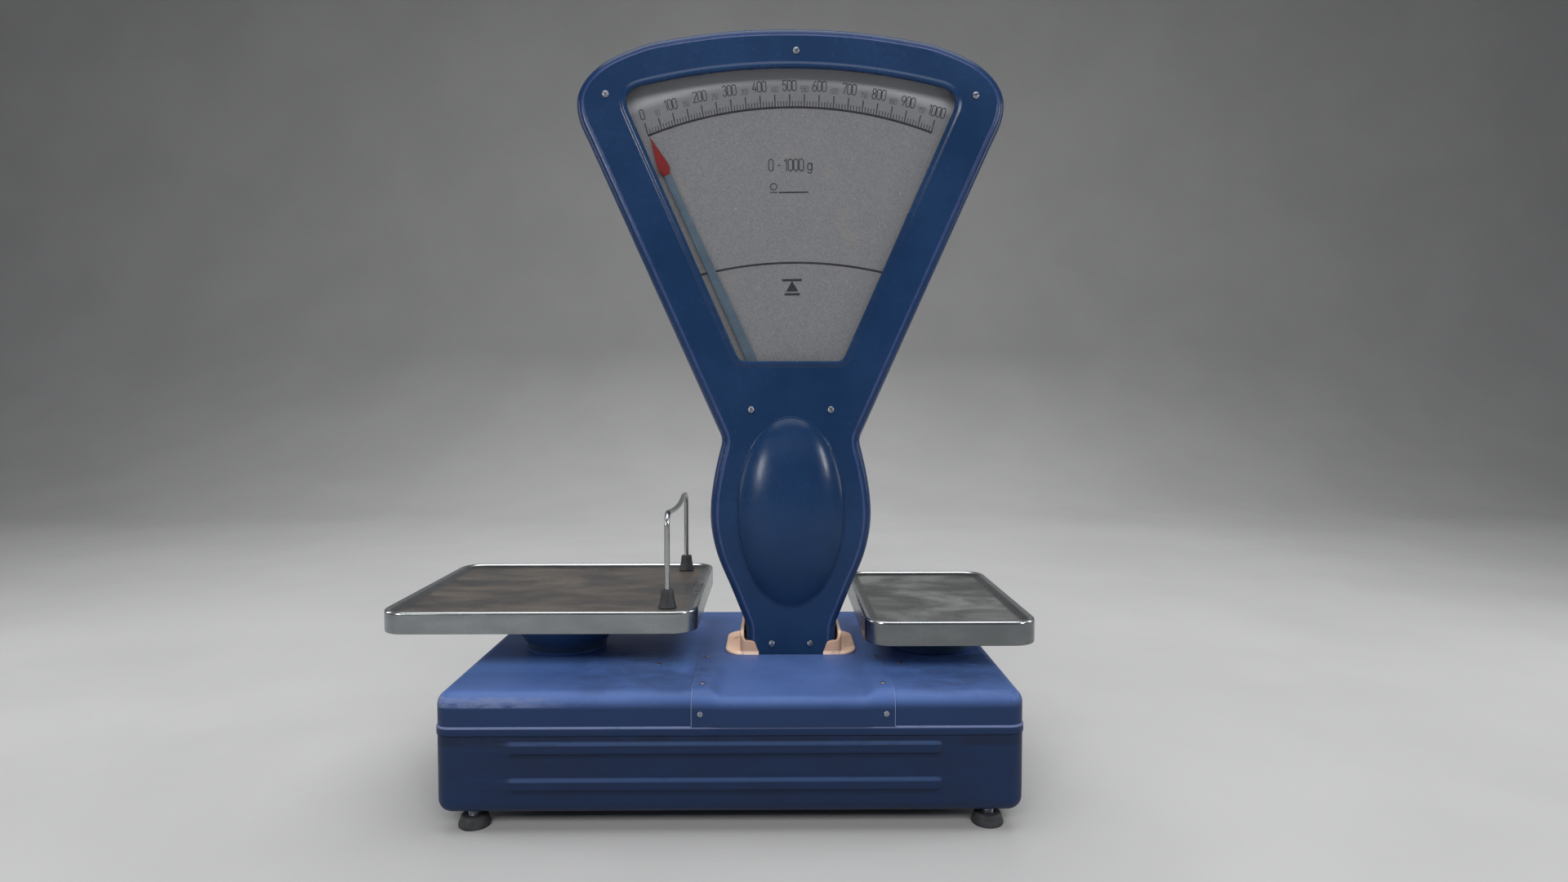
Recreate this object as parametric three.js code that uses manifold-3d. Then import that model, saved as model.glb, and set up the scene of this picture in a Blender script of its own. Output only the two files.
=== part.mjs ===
// Fan-dial counter scale: two steel pans over a box base, a tall fan-shaped dial head in the middle.
// Millimetres, +Z up, +X to the right, +Y away from the person who reads the front dial.
import * as THREE from 'three';
import { mergeVertices } from 'three/addons/utils/BufferGeometryUtils.js';
import Module from 'manifold-3d';

const wasm = await Module();
wasm.setup();

// ---------------------------------------------------------------- driving dimensions
// X = 0 is the middle of the dial head, Y = 0 the plane of the mechanism, Z = 0 the table.
const GAP = 0.3;                 // clearance between pieces that touch
const SHEET = 2;                 // wall of the pressed steel base
const BASE = { left: -296.3, right: 192.8, halfDepth: 147, bottom: 17.4, split: 83.5, top: 119,
  corner: 14, fillet: 11, lipTop: 91, skin: 0.8 };   // skin: walls stand back from the lip
const HEAD = { top: 700, halfDepth: 37, wall: 2.5, edge: 12, footHalf: 42 };
const PIVOT_Z = 321.8;           // pointer axle
const POINTER_REACH = 310;
const WINDOW = { bottomZ: 395.3, bottomHalf: 48.2, topZ: 662.2, topRadius: 575, tilt: 23.8,
  bottomCorner: 6, topCorner: 12 };
const GOODS_X = -218, WEIGHTS_X = 138;
const PAN = { halfDepth: 115, corner: 22, sheet: 1.5, recess: 4, slope: 12, crest: 3 };
const GOODS_PAN = { x: GOODS_X, halfWidth: 136, rim: 179, skirt: 19 };
const WEIGHTS_PAN = { x: WEIGHTS_X, halfWidth: 74.5, rim: 169.7, skirt: 21 };
const FULCRUM_X = (GOODS_X + WEIGHTS_X) / 2;
const BEAM_Z = 95, STAY_Z = 45;  // line of the knife edges, line of the stay bar's pins
const BEAM_TRAVEL = 2.4, POINTER_TRAVEL = 50;      // degrees, from empty pans to a full dial
const LEVER = { x: 70.8, z: 65, longArm: 60, shortArm: 40 };
const HOOK_X = LEVER.x + LEVER.shortArm;           // where the beam lifts the lever
const LEVER_TRAVEL = BEAM_TRAVEL * (HOOK_X - FULCRUM_X) / LEVER.shortArm;
const CHEEK = { inner: 20, outer: 24 };            // side plates that straddle the beam
const radians = THREE.MathUtils.degToRad;
const WIDE = 800;                // larger than the scale, for cutting blocks

// ---------------------------------------------------------------- materials
const paint = (color, roughness = 0.45) =>
  new THREE.MeshStandardMaterial({ color, roughness, metalness: 0.1 });
const metal = (color, roughness = 0.35) =>
  new THREE.MeshStandardMaterial({ color, roughness, metalness: 0.95 });
const BLUE = paint(0x2c4a86), HEAD_BLUE = paint(0x1f3f74, 0.4);
const STAINLESS = metal(0x8d9090), SCREW_STEEL = metal(0x6d7074), BRIGHT = metal(0xa9abac, 0.3);
const CAST = paint(0x4b4e50, 0.7), BRASS = metal(0xa68a4e);
const DIAL_GREY = paint(0x8b8d92, 0.8), POINTER_BLUE = paint(0x56697a, 0.6);
const BEIGE = paint(0xe2b598, 0.6), RUBBER = paint(0x242424, 0.85);
const GLASS = new THREE.MeshStandardMaterial({
  color: 0xdfe8ea, roughness: 0.08, metalness: 0, transparent: true, opacity: 0.25 });

// ---------------------------------------------------------------- solids and booleans
function solid(geometry) {
  const bare = geometry.clone();
  bare.deleteAttribute('normal');
  bare.deleteAttribute('uv');
  const welded = mergeVertices(bare, 1e-4);
  return new wasm.Manifold(new wasm.Mesh({
    numProp: 3,
    vertProperties: new Float32Array(welded.attributes.position.array),
    triVerts: new Uint32Array(welded.index.array) }));
}
function geometryOf(manifold) {
  const mesh = manifold.getMesh();
  const geometry = new THREE.BufferGeometry();
  geometry.setAttribute('position', new THREE.BufferAttribute(mesh.vertProperties, 3));
  geometry.setIndex(new THREE.BufferAttribute(mesh.triVerts, 1));
  geometry.computeVertexNormals();
  return geometry;
}
const cut = (from, ...tools) => tools.reduce((body, tool) => body.subtract(tool), from);
const join = (first, ...others) => others.reduce((body, other) => body.add(other), first);

const part = new THREE.Group();
function add(name, shape, material) {
  const mesh = new THREE.Mesh(shape.isBufferGeometry ? shape : geometryOf(shape), material);
  mesh.name = name;
  part.add(mesh);
  return mesh;
}

// ---------------------------------------------------------------- shape helpers
function box(x0, x1, y0, y1, z0, z1) {
  const geometry = new THREE.BoxGeometry(x1 - x0, y1 - y0, z1 - z0);
  return solid(geometry.translate((x0 + x1) / 2, (y0 + y1) / 2, (z0 + z1) / 2));
}
// A round bar along 'y' or 'z', centred on (x, y, z).
function bar(axis, radius, length, x, y, z, sides = 12) {
  const geometry = new THREE.CylinderGeometry(radius, radius, length, sides);
  if (axis === 'z') geometry.rotateX(Math.PI / 2);
  return solid(geometry.translate(x, y, z));
}
function polygon(points) {
  return new THREE.Shape(points.map(([x, y]) => new THREE.Vector2(x, y)));
}
function roundedRectangle(halfX, halfY, radius, x = 0, y = 0) {
  const shape = new THREE.Shape();
  const dx = halfX - radius, dy = halfY - radius;
  const corners = [[x + dx, y + dy], [x - dx, y + dy], [x - dx, y - dy], [x + dx, y - dy]];
  corners.forEach(([cx, cy], turn) => {
    shape.absarc(cx, cy, radius, turn * Math.PI / 2, (turn + 1) * Math.PI / 2, false);
  });
  return shape;
}
// edge rounds both ends by that height, side by that much inwards; inset shrinks the outline.
function extrusion(shape, length, { edge = 0, side = edge, steps = 2, segments = 2, inset = 0 }) {
  return new THREE.ExtrudeGeometry(shape, {
    depth: length - 2 * edge, curveSegments: segments, bevelEnabled: edge > 0,
    bevelThickness: edge, bevelSize: side, bevelOffset: -side - inset, bevelSegments: steps,
  }).translate(0, 0, edge);
}
// A plan shape that fills z0 to z1.
function slab(shape, z0, z1, options = {}) {
  return solid(extrusion(shape, z1 - z0, options).translate(0, 0, z0));
}
// An upright shape, drawn in X and Z, that fills y0 to y1.
function wall(shape, y0, y1, options = {}) {
  return solid(extrusion(shape, y1 - y0, options).rotateX(Math.PI / 2).translate(0, y1, 0));
}
// A section drawn in Y and Z, run along X from x0 to x1.
function run(section, x0, x1, options = {}) {
  const geometry = extrusion(section, x1 - x0, options);
  return solid(geometry.rotateX(Math.PI / 2).rotateZ(Math.PI / 2).translate(x0, 0, 0));
}
// A turned piece about the upright line through (x, y); the profile lists [radius, z] upwards.
function turned(profile, x = 0, y = 0, sides = 18) {
  const points = profile.map(([radius, z]) => new THREE.Vector2(radius, z));
  const geometry = new THREE.LatheGeometry(points, sides).rotateX(Math.PI / 2);
  return solid(geometry.translate(x, y, 0));
}

// ---------------------------------------------------------------- box base
const BASE_X = (BASE.left + BASE.right) / 2;
const BASE_HALF_WIDTH = (BASE.right - BASE.left) / 2;
const FOOT = { insetX: 27, insetY: 22.5, padHeight: 10, padBottom: 13.4, padTop: 8.4, socket: 5,
  studRadius: 5.1, studAbove: 15, hole: 5.7, bossRadius: 9, bossHeight: 7.5 };
const FOOT_SPOTS = [-1, 1].flatMap((front) => [-1, 1].map((side) => [
  BASE_X + side * (BASE_HALF_WIDTH - FOOT.insetX), front * (BASE.halfDepth - FOOT.insetY)]));
const RIB = { heights: [73.5, 44.2], halfLength: 178, halfHeight: 4.8, proud: 2.2 };
const COVER_SCREWS = [[-120, -64.2], [99.6, -64.2]];
const PLATE_SCREWS = { top: [[-76, -125.8], [76, -125.8], [-78, -47.7], [78, -47.7]],
  front: [[-76.5, 102], [76.5, 102]] };
const SMALL_SCREW = { head: 2.4, height: 1.1, shank: 1.2, length: 8, hole: 1.5 };
const ROD_OPENING = [-6, 28, -9, 9];

const basePlan = () =>
  roundedRectangle(BASE_HALF_WIDTH, BASE.halfDepth, BASE.corner, BASE_X, 0);
// The long pressed ribs of the front and back walls.
function ribs(inset) {
  const { heights, halfLength, halfHeight, proud } = RIB;
  const radius = halfHeight - inset;
  const face = BASE.halfDepth - BASE.skin - inset;
  return [-1, 1].flatMap((side) => heights.map((z) => {
    const capsule = new THREE.CapsuleGeometry(radius, 2 * (halfLength - halfHeight), 2, 8);
    capsule.rotateZ(Math.PI / 2).scale(1, proud / radius, 1);
    return solid(capsule.translate(BASE_X, side * face, z));
  }));
}
function makeTray() {
  const top = BASE.split - GAP;
  const skin = { edge: BASE.fillet, inset: BASE.skin };
  const inside = { edge: BASE.fillet - 1.5 * SHEET, inset: BASE.skin + SHEET };
  const above = box(-WIDE, WIDE, -WIDE, WIDE, top, WIDE);
  const floor = BASE.bottom + SHEET;
  const outer = join(cut(slab(basePlan(), BASE.bottom, BASE.top, skin), above), ...ribs(0));
  const inner = join(slab(basePlan(), floor, BASE.top, inside), ...ribs(SHEET));
  const bosses = FOOT_SPOTS.map(([x, y]) =>
    bar('z', FOOT.bossRadius, FOOT.bossHeight, x, y, floor + FOOT.bossHeight / 2 - 0.1));
  const holes = FOOT_SPOTS.map(([x, y]) => bar('z', FOOT.hole, 40, x, y, BASE.bottom));
  return cut(join(cut(outer, inner), ...bosses), ...holes);
}
function screwHoles() {
  return [
    ...[...PLATE_SCREWS.top, ...COVER_SCREWS].map(([x, y]) =>
      bar('z', SMALL_SCREW.hole, 20, x, y, BASE.top, 8)),
    ...PLATE_SCREWS.front.map(([x, z]) =>
      bar('y', SMALL_SCREW.hole, 20, x, -BASE.halfDepth, z, 8))];
}
function makeCover() {
  const skin = { edge: BASE.fillet, inset: BASE.skin };
  const inside = { edge: BASE.fillet - 1.5 * SHEET, inset: BASE.skin + SHEET };
  const shell = join(slab(basePlan(), 0, BASE.top, skin),
    slab(basePlan(), BASE.split, BASE.lipTop, { edge: 1.5, steps: 1 }));
  const [x0, x1, y0, y1] = ROD_OPENING;
  return cut(shell,
    box(-WIDE, WIDE, -WIDE, WIDE, -WIDE, BASE.split),
    slab(basePlan(), 0, BASE.top - SHEET, inside),
    ...[GOODS_X, WEIGHTS_X].map((x) => bar('z', 14, 20, x, 0, BASE.top, 20)),
    box(x0, x1, y0, y1, BASE.top - 20, BASE.top + 20),
    ...screwHoles());
}
// The bent plate over the front edge of the cover, with a raised middle panel.
const PLATE = { halfWidth: 84, back: -39.5, thick: 1.2, panelHalf: 68, raised: 2.2, border: 8 };
function plateSection(offset, beyond = 0) {
  const front = -BASE.halfDepth + BASE.skin - offset;
  const top = BASE.top + offset, radius = BASE.fillet + offset;
  const back = PLATE.back + beyond, foot = BASE.lipTop + GAP - beyond;
  const shape = new THREE.Shape();
  shape.moveTo(front, foot);
  shape.lineTo(back, foot);
  shape.lineTo(back, top);
  shape.lineTo(front + radius, top);
  shape.absarc(front + radius, top - radius, radius, Math.PI / 2, Math.PI, false);
  return shape;
}
function makeFrontPlate() {
  const { halfWidth, thick, panelHalf, raised, border, back } = PLATE;
  const sheet = cut(run(plateSection(GAP + thick), -halfWidth, halfWidth),
    run(plateSection(GAP, 5), -WIDE, WIDE));
  const farEdge = back - border;
  const behind = box(-WIDE, WIDE, farEdge, WIDE, 0, WIDE);
  const hollowBehind = box(-WIDE, WIDE, farEdge - thick, WIDE, 0, WIDE);
  const panel = cut(run(plateSection(GAP + raised), -panelHalf, panelHalf), behind);
  const inner = panelHalf - thick;
  const hollow = cut(run(plateSection(GAP + raised - thick, 5), -inner, inner), hollowBehind);
  return cut(join(sheet, cut(panel, run(plateSection(GAP, 5), -WIDE, WIDE))), hollow,
    ...screwHoles());
}
// A round-headed screw, pointing down from the origin.
function screw({ head, height, shank, length }) {
  return new THREE.LatheGeometry([
    [0, -length], [shank, -length], [shank, 0], [head, 0], [head * 0.85, height * 0.6], [0, height],
  ].map(([x, y]) => new THREE.Vector2(x, y)), 8).rotateX(Math.PI / 2);
}
function placeScrew(name, size, x, y, z, facesFront) {
  const mesh = add(name, screw(size), SCREW_STEEL);
  mesh.position.set(x, y, z);
  if (facesFront) mesh.rotation.x = Math.PI / 2;
}
function addBase() {
  add('base_tray', makeTray(), BLUE);
  add('base_cover', makeCover(), BLUE);
  add('front_plate', makeFrontPlate(), BLUE);
  const plateTop = BASE.top + PLATE.thick + 2 * GAP;
  const plateFront = -BASE.halfDepth + BASE.skin - PLATE.thick - 2 * GAP;
  PLATE_SCREWS.top.forEach(([x, y], i) =>
    placeScrew(`plate_screw_${i + 1}`, SMALL_SCREW, x, y, plateTop, false));
  PLATE_SCREWS.front.forEach(([x, z], i) =>
    placeScrew(`plate_screw_${i + 5}`, SMALL_SCREW, x, plateFront, z, true));
  COVER_SCREWS.forEach(([x, y], i) =>
    placeScrew(`cover_screw_${i + 1}`, SMALL_SCREW, x, y, BASE.top + GAP, false));
}

// ---------------------------------------------------------------- levelling feet
function addFeet() {
  const { padHeight, padBottom, padTop, socket, studRadius, studAbove } = FOOT;
  const low = socket + GAP, high = BASE.bottom + studAbove;
  FOOT_SPOTS.forEach(([x, y], i) => {
    const cone = turned([[0, 0], [padBottom - 1, 0], [padBottom, 2], [padTop, padHeight],
      [0, padHeight]], x, y, 16);
    const hole = bar('z', studRadius + GAP, 20, x, y, socket + 10);
    add(`foot_pad_${i + 1}`, cut(cone, hole), RUBBER);
    add(`foot_stud_${i + 1}`, bar('z', studRadius, high - low, x, y, (high + low) / 2),
      SCREW_STEEL);
  });
}

// ---------------------------------------------------------------- dial head
const mirrored = (points) => points.map(([x, z]) => [-x, z]).reverse();
// Right-hand half of the outline, from the foot up: waisted bulge, straight flank, round shoulder.
const BULGE = [[55.8, 180.3], [69, 212], [75.2, 240], [75.2, 265], [71, 293], [64, 322]];
const FLANK_TOP = [186, 595];
const SHOULDER = [[195.3, 616], [197.5, 635], [191.8, 650], [181, 662.3], [167, 672.3],
  [145, 681.7], [121, 688.7], [60, 697.5]];
function headOutline() {
  const vectors = (points) => points.map(([x, z]) => new THREE.Vector2(x, z));
  const { footHalf, top } = HEAD;
  const footTop = 146, below = BASE.top - 40;
  const shape = new THREE.Shape();
  shape.moveTo(-footHalf, below);
  shape.lineTo(footHalf, below);
  shape.lineTo(footHalf, footTop);
  shape.splineThru(vectors(BULGE));
  shape.lineTo(...FLANK_TOP);
  shape.splineThru(vectors([...SHOULDER, [0, top], ...mirrored([FLANK_TOP, ...SHOULDER])]));
  shape.lineTo(-BULGE.at(-1)[0], BULGE.at(-1)[1]);
  shape.splineThru(vectors([...mirrored(BULGE).slice(1), [-footHalf, footTop]]));
  return shape;
}
// The fan-shaped opening, grown outwards on every side.
function fanOutline(grow) {
  const { bottomZ, bottomHalf, topZ, topRadius, bottomCorner, topCorner } = WINDOW;
  const tilt = radians(WINDOW.tilt);
  const along = new THREE.Vector2(Math.sin(tilt), Math.cos(tilt));
  const outward = new THREE.Vector2(Math.cos(tilt), -Math.sin(tilt));
  const start = new THREE.Vector2(bottomHalf, bottomZ).addScaledVector(outward, grow);
  const radius = topRadius + grow, centreZ = topZ - topRadius;
  const toStart = new THREE.Vector2(start.x, start.y - centreZ);
  const half = toStart.dot(along);
  const reach = Math.sqrt(half ** 2 - toStart.lengthSq() + radius ** 2) - half;
  const corner = start.clone().addScaledVector(along, reach);
  const foot = start.clone().addScaledVector(along, (bottomZ - grow - start.y) / along.y);
  const angle = Math.atan2(corner.y - centreZ, corner.x) + topCorner / radius;
  const low = foot.clone().addScaledVector(along, bottomCorner);
  const high = corner.clone().addScaledVector(along, -topCorner);
  const shape = new THREE.Shape();
  shape.moveTo(bottomCorner - foot.x, foot.y);
  shape.lineTo(foot.x - bottomCorner, foot.y);
  shape.quadraticCurveTo(foot.x, foot.y, low.x, low.y);
  shape.lineTo(high.x, high.y);
  shape.quadraticCurveTo(corner.x, corner.y, radius * Math.cos(angle),
    centreZ + radius * Math.sin(angle));
  shape.absarc(0, centreZ, radius, angle, Math.PI - angle, false);
  shape.quadraticCurveTo(-corner.x, corner.y, -high.x, high.y);
  shape.lineTo(-low.x, low.y);
  shape.quadraticCurveTo(-foot.x, foot.y, bottomCorner - foot.x, foot.y);
  return shape;
}
const DOME = { z: 254, halfWidth: 54, halfHeight: 94.8, depth: 29, sunk: 10 };
const HOUSING_SCREW = { head: 3.4, height: 2, shank: 1.8, length: 48, hole: 2.1, boss: 4.6 };
const SHELL_SCREWS = [[-169.5, 638], [169.5, 638], [4.6, 677.6], [-37, 350], [37, 350]];
const FOOT_SCREWS = [[-18, 130], [18, 130]];
const DIAL = { front: 22, thick: 1.2, grow: 12, postRadius: 2.7, postGrow: 8.6 };
const GLASS_PANE = { thick: 3, grow: 5 };
const DIAL_POSTS = [-1, 1].flatMap((side) => [
  [side * 60, WINDOW.topZ + DIAL.postGrow - 3.2], [side * 46, WINDOW.bottomZ - DIAL.postGrow]]);

function dome(side, shrink) {
  const { z, halfWidth, halfHeight, depth, sunk } = DOME;
  const geometry = new THREE.SphereGeometry(1, 20, 10);
  geometry.scale(halfWidth - shrink, depth - shrink, halfHeight - shrink);
  return solid(geometry.translate(0, side * (HEAD.halfDepth - sunk), z));
}
// One half of the casing; side is -1 at the front and 1 at the back.
function makeHousing(side) {
  const { halfDepth, wall: thick, edge } = HEAD;
  const outline = headOutline();
  const far = halfDepth - thick;
  const seam = GAP / 2, seat = BASE.top + GAP;
  const outer = join(wall(outline, -halfDepth, halfDepth, { edge }), dome(side, 0));
  const inner = join(wall(outline, -far, far, { edge: edge - thick, steps: 1, segments: 1,
    inset: thick }), dome(side, thick));
  const shell = cut(outer, inner, wall(fanOutline(0), ...[side * 20, side * 90].sort((a, b) => a - b)));
  const along = (radius, [x, z], from, to, sides) =>
    bar('y', radius, Math.abs(to - from), x, side * (from + to) / 2, z, sides);
  const bosses = SHELL_SCREWS.map((at) => along(HOUSING_SCREW.boss, at, seam, far + 0.5, 8));
  const posts = DIAL_POSTS.map((at) =>
    along(DIAL.postRadius, at, DIAL.front + GAP, far + 0.5, 6));
  const frontHoles = [...SHELL_SCREWS, ...FOOT_SCREWS].map((at) =>
    along(HOUSING_SCREW.hole, at, -1, halfDepth + 5, 8));
  const backHoles = SHELL_SCREWS.map((at) => along(HOUSING_SCREW.hole, at, -1, 14, 8));
  const otherHalf = side < 0 ? box(-WIDE, WIDE, -seam, WIDE, 0, WIDE)
    : box(-WIDE, WIDE, -WIDE, seam, 0, WIDE);
  return cut(join(shell, ...bosses, ...posts), otherHalf,
    box(-WIDE, WIDE, -WIDE, WIDE, -WIDE, seat), ...(side < 0 ? frontHoles : backHoles));
}
function layers(side, near, thick) {
  return [side * near, side * (near + thick)].sort((a, b) => a - b);
}
const POINTER = { near: 26, thick: 1.5, hub: 9, hubNear: 24.8, hubThick: 4.2, tail: 28 };
function makePointer(side) {
  const { near, thick, hub, hubNear, hubThick, tail } = POINTER;
  const half = [[4, -tail], [5, 0], [4.75, 80], [3.25, POINTER_REACH - 38],
    [5.5, POINTER_REACH - 30], [0, POINTER_REACH]];
  const blade = wall(polygon([...half, ...mirrored(half).slice(1)]), ...layers(side, near, thick));
  const middle = side * (hubNear + hubThick / 2);
  return cut(join(blade, bar('y', hub, hubThick, 0, middle, 0, 16)),
    bar('y', AXLE.radius + GAP, 20, 0, middle, 0, 16));
}
const AXLE = { radius: 3, reach: 29.5, drum: 10.2, drumHalf: 4 };
function addHead() {
  const far = HEAD.halfDepth - HEAD.wall - GAP;
  [[-1, 'front'], [1, 'rear']].forEach(([side, place]) => {
    add(`${place}_housing`, makeHousing(side), HEAD_BLUE);
    const pane = wall(fanOutline(GLASS_PANE.grow), ...layers(side, far, -GLASS_PANE.thick));
    add(`${place}_window`, pane, GLASS);
    const notches = SHELL_SCREWS.map(([x, z]) => bar('y', HOUSING_SCREW.boss + GAP, 90, x, 0, z, 10));
    const plate = cut(wall(fanOutline(DIAL.grow), ...layers(side, DIAL.front, -DIAL.thick)),
      ...notches);
    add(`${place}_dial`, plate, DIAL_GREY);
    const pointer = add(`${place}_pointer`, makePointer(side), POINTER_BLUE);
    pointer.position.set(0, 0, PIVOT_Z);
    pointer.rotation.y = radians(-POINTER_TRAVEL / 2);
  });
  const face = -HEAD.halfDepth - GAP;
  const footScrew = { ...HOUSING_SCREW, length: 20 };
  SHELL_SCREWS.forEach(([x, z], i) =>
    placeScrew(`housing_screw_${i + 1}`, HOUSING_SCREW, x, face, z, true));
  FOOT_SCREWS.forEach(([x, z], i) =>
    placeScrew(`housing_screw_${i + 6}`, footScrew, x, face, z, true));
}
// Moulded collar around the foot of the head, open at the front.
function makeColumnCollar() {
  const low = BASE.top + GAP, flangeTop = low + 3, wingTop = low + 12, sideTop = low + 22;
  const opening = slab(roundedRectangle(HEAD.footHalf + GAP, HEAD.halfDepth + GAP,
    HEAD.edge + GAP), 0, 300);
  const flange = slab(roundedRectangle(63, 41.5, 20, 0, 3), low, flangeTop, { edge: 1, steps: 1 });
  const upstand = slab(roundedRectangle(HEAD.footHalf + 3.7, HEAD.halfDepth + 1.7, 14),
    low, sideTop);
  return cut(join(flange, upstand), opening,
    box(-30, 30, -60, -30, 0, 300), box(-WIDE, WIDE, -60, -32, wingTop, 300));
}

// ---------------------------------------------------------------- works inside the head
const FRAME = { cheekNear: 21, cheekThick: 3, footHalfX: 34, footHalfY: 30, footThick: 4 };
function makeQuadrantFrame() {
  const { cheekNear, cheekThick, footHalfX, footHalfY, footThick } = FRAME;
  const low = BASE.top + GAP;
  const outline = new THREE.Shape();
  outline.moveTo(-26, low + 1);
  outline.lineTo(26, low + 1);
  outline.lineTo(26, low + 30);
  outline.lineTo(11, PIVOT_Z);
  outline.absarc(0, PIVOT_Z, 11, 0, Math.PI, false);
  outline.lineTo(-26, low + 30);
  const cheeks = [-1, 1].map((side) => wall(outline, ...layers(side, cheekNear, cheekThick)));
  const foot = box(-footHalfX, footHalfX, -footHalfY, footHalfY, low, low + footThick);
  const [x0, x1, y0, y1] = ROD_OPENING;
  return cut(join(foot, ...cheeks),
    box(x0, x1, y0, y1, 0, low + 20), bar('y', AXLE.radius + GAP, 90, 0, 0, PIVOT_Z, 16),
    ...FOOT_SCREWS.map(([x, z]) => bar('y', HOUSING_SCREW.hole, 40, x, -30, z, 10)));
}
function makeAxle() {
  const { radius, reach, drum, drumHalf } = AXLE;
  const profile = [[0, -reach], [radius, -reach], [radius, -drumHalf], [drum, -drumHalf],
    [drum, drumHalf], [radius, drumHalf], [radius, reach], [0, reach]];
  const geometry = new THREE.LatheGeometry(profile.map(([x, y]) => new THREE.Vector2(x, y)), 20);
  return geometry.translate(0, 0, PIVOT_Z);
}
// Drawn hanging straight down; it hangs a little to the left when the dial reads 0.
const PENDULUM = { arm: 50, radius: 16, near: 7.3, thick: 11.5, restAngle: 10 };
function makePendulum() {
  const { arm, radius, near, thick } = PENDULUM;
  const strip = wall(polygon([[-4, -arm], [4, -arm], [4, 0], [-4, 0]]), near, near + 3);
  const hub = bar('y', 8, 6, 0, near + 3, 0, 16);
  const weight = bar('y', radius, thick, 0, near + thick / 2, -arm, 20);
  return cut(join(strip, hub, weight), bar('y', AXLE.radius + GAP, 40, 0, near, 0, 16));
}
function addHeadWorks() {
  add('quadrant_frame', makeQuadrantFrame(), CAST);
  add('quadrant_axle', makeAxle(), BRIGHT);
  const pendulum = add('pendulum_weight', makePendulum(), BRASS);
  pendulum.position.set(0, 0, PIVOT_Z);
  pendulum.rotation.y = radians(PENDULUM.restAngle);
}

// ---------------------------------------------------------------- beam, levers and carriers
const BEAM = { half: 16, slotHalf: 10, bottom: 88, top: 102, overhang: 13 };
const KNIFE = { half: 4, height: 9, reach: 27 };
const PIN = { radius: 2.5, hole: 2.9, small: 2.2 };
const DAMPER = { x: -105, y: 50, radius: 18, bore: 16, top: 78, piston: 14, hole: 4 };
// up is -1 where the edge points down; grow widens it into the pocket that holds it.
function knife(x, up, reach, grow = 0) {
  const { half, height } = KNIFE;
  const side = half + grow;
  const points = [[0, 1.5 * grow], [side, -half], [side, -height - grow],
    [-side, -height - grow], [-side, -half]];
  const placed = points.map(([px, pz]) => [x + px, BEAM_Z + up * pz]);
  return wall(polygon(up > 0 ? placed.reverse() : placed), -reach, reach);
}
const KNIVES = [['goods_knife', GOODS_X, 1], ['fulcrum_knife', FULCRUM_X, -1],
  ['weights_knife', WEIGHTS_X, 1]];
function makeBeam() {
  const { half, slotHalf, bottom, top, overhang } = BEAM;
  const { x, y, hole } = DAMPER;
  const z = [bottom, top];
  const body = box(GOODS_X - overhang, WEIGHTS_X + overhang, -half, half, ...z);
  const lug = join(box(x - 7, x + 7, half - 1, y, ...z), bar('z', 7, top - bottom, x, y, BEAM_Z));
  const slots = [[-190, -58], [-24, 122]].map(([x0, x1]) =>
    box(x0, x1, -slotHalf, slotHalf, bottom - 1, top + 1));
  const pockets = KNIVES.map(([, at, up]) => knife(at, up, half + 10, GAP));
  return join(cut(join(body, lug), ...slots, ...pockets, bar('z', hole, 40, x, y, BEAM_Z)),
    bar('y', PIN.radius, 2 * slotHalf + 4, HOOK_X, 0, BEAM_Z));
}
// Yoke that hangs on an end knife, with the stem that carries a pan; both share a length of leg.
function makeCarrier(x, stemTop) {
  const { inner, outer } = CHEEK;
  const low = STAY_Z - 7, top = 108, half = 12;
  const shape = polygon([[x - half, low], [x + half, low], [x + half, top], [x - half, top]]);
  const seat = polygon([[0, 0.5], [-8, -4.5], [-8, -13], [8, -13], [8, -4.5]]
    .map(([px, pz]) => [x + px, BEAM_Z + pz]));
  const cheeks = [-1, 1].map((side) => wall(shape, ...layers(side, inner, outer - inner)));
  const saddle = box(x - half, x + half, -outer, outer, top - 4, top);
  return cut(join(...cheeks, saddle, bar('z', 7, stemTop - top + 1, x, 0, (stemTop + top - 1) / 2, 16)),
    wall(seat, -40, 40), bar('y', PIN.hole, 80, x, 0, STAY_Z));
}
function makeStayBar() {
  const rail = box(GOODS_X - 6, WEIGHTS_X + 6, -8, 8, STAY_Z - 4, STAY_Z + 4);
  return join(rail, ...[GOODS_X, FULCRUM_X, WEIGHTS_X].map((x) =>
    bar('y', PIN.radius, 2 * KNIFE.reach, x, 0, STAY_Z)));
}
function makeStand() {
  const low = BASE.bottom + SHEET + GAP, floor = low + 4;
  const cheek = polygon([[FULCRUM_X - 14, low], [FULCRUM_X + 14, low],
    [FULCRUM_X + 14, BEAM_Z + 6], [FULCRUM_X - 14, BEAM_Z + 6]]);
  const notch = polygon([[0, -0.5], [20, 11], [-20, 11]]
    .map(([px, pz]) => [FULCRUM_X + px, BEAM_Z + pz]));
  const ear = polygon([[LEVER.x - 7, low], [LEVER.x + 7, low],
    [LEVER.x + 7, LEVER.z + 7], [LEVER.x - 7, LEVER.z + 7]]);
  const plates = [-1, 1].flatMap((side) => [
    wall(cheek, ...layers(side, CHEEK.inner, CHEEK.outer - CHEEK.inner)),
    wall(ear, ...layers(side, 12, 3))]);
  return cut(join(box(FULCRUM_X - 26, LEVER.x + 16, -28, 28, low, floor), ...plates),
    wall(notch, -40, 40),
    bar('y', PIN.hole, 80, FULCRUM_X, 0, STAY_Z), bar('y', PIN.hole, 80, LEVER.x, 0, LEVER.z));
}
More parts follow.
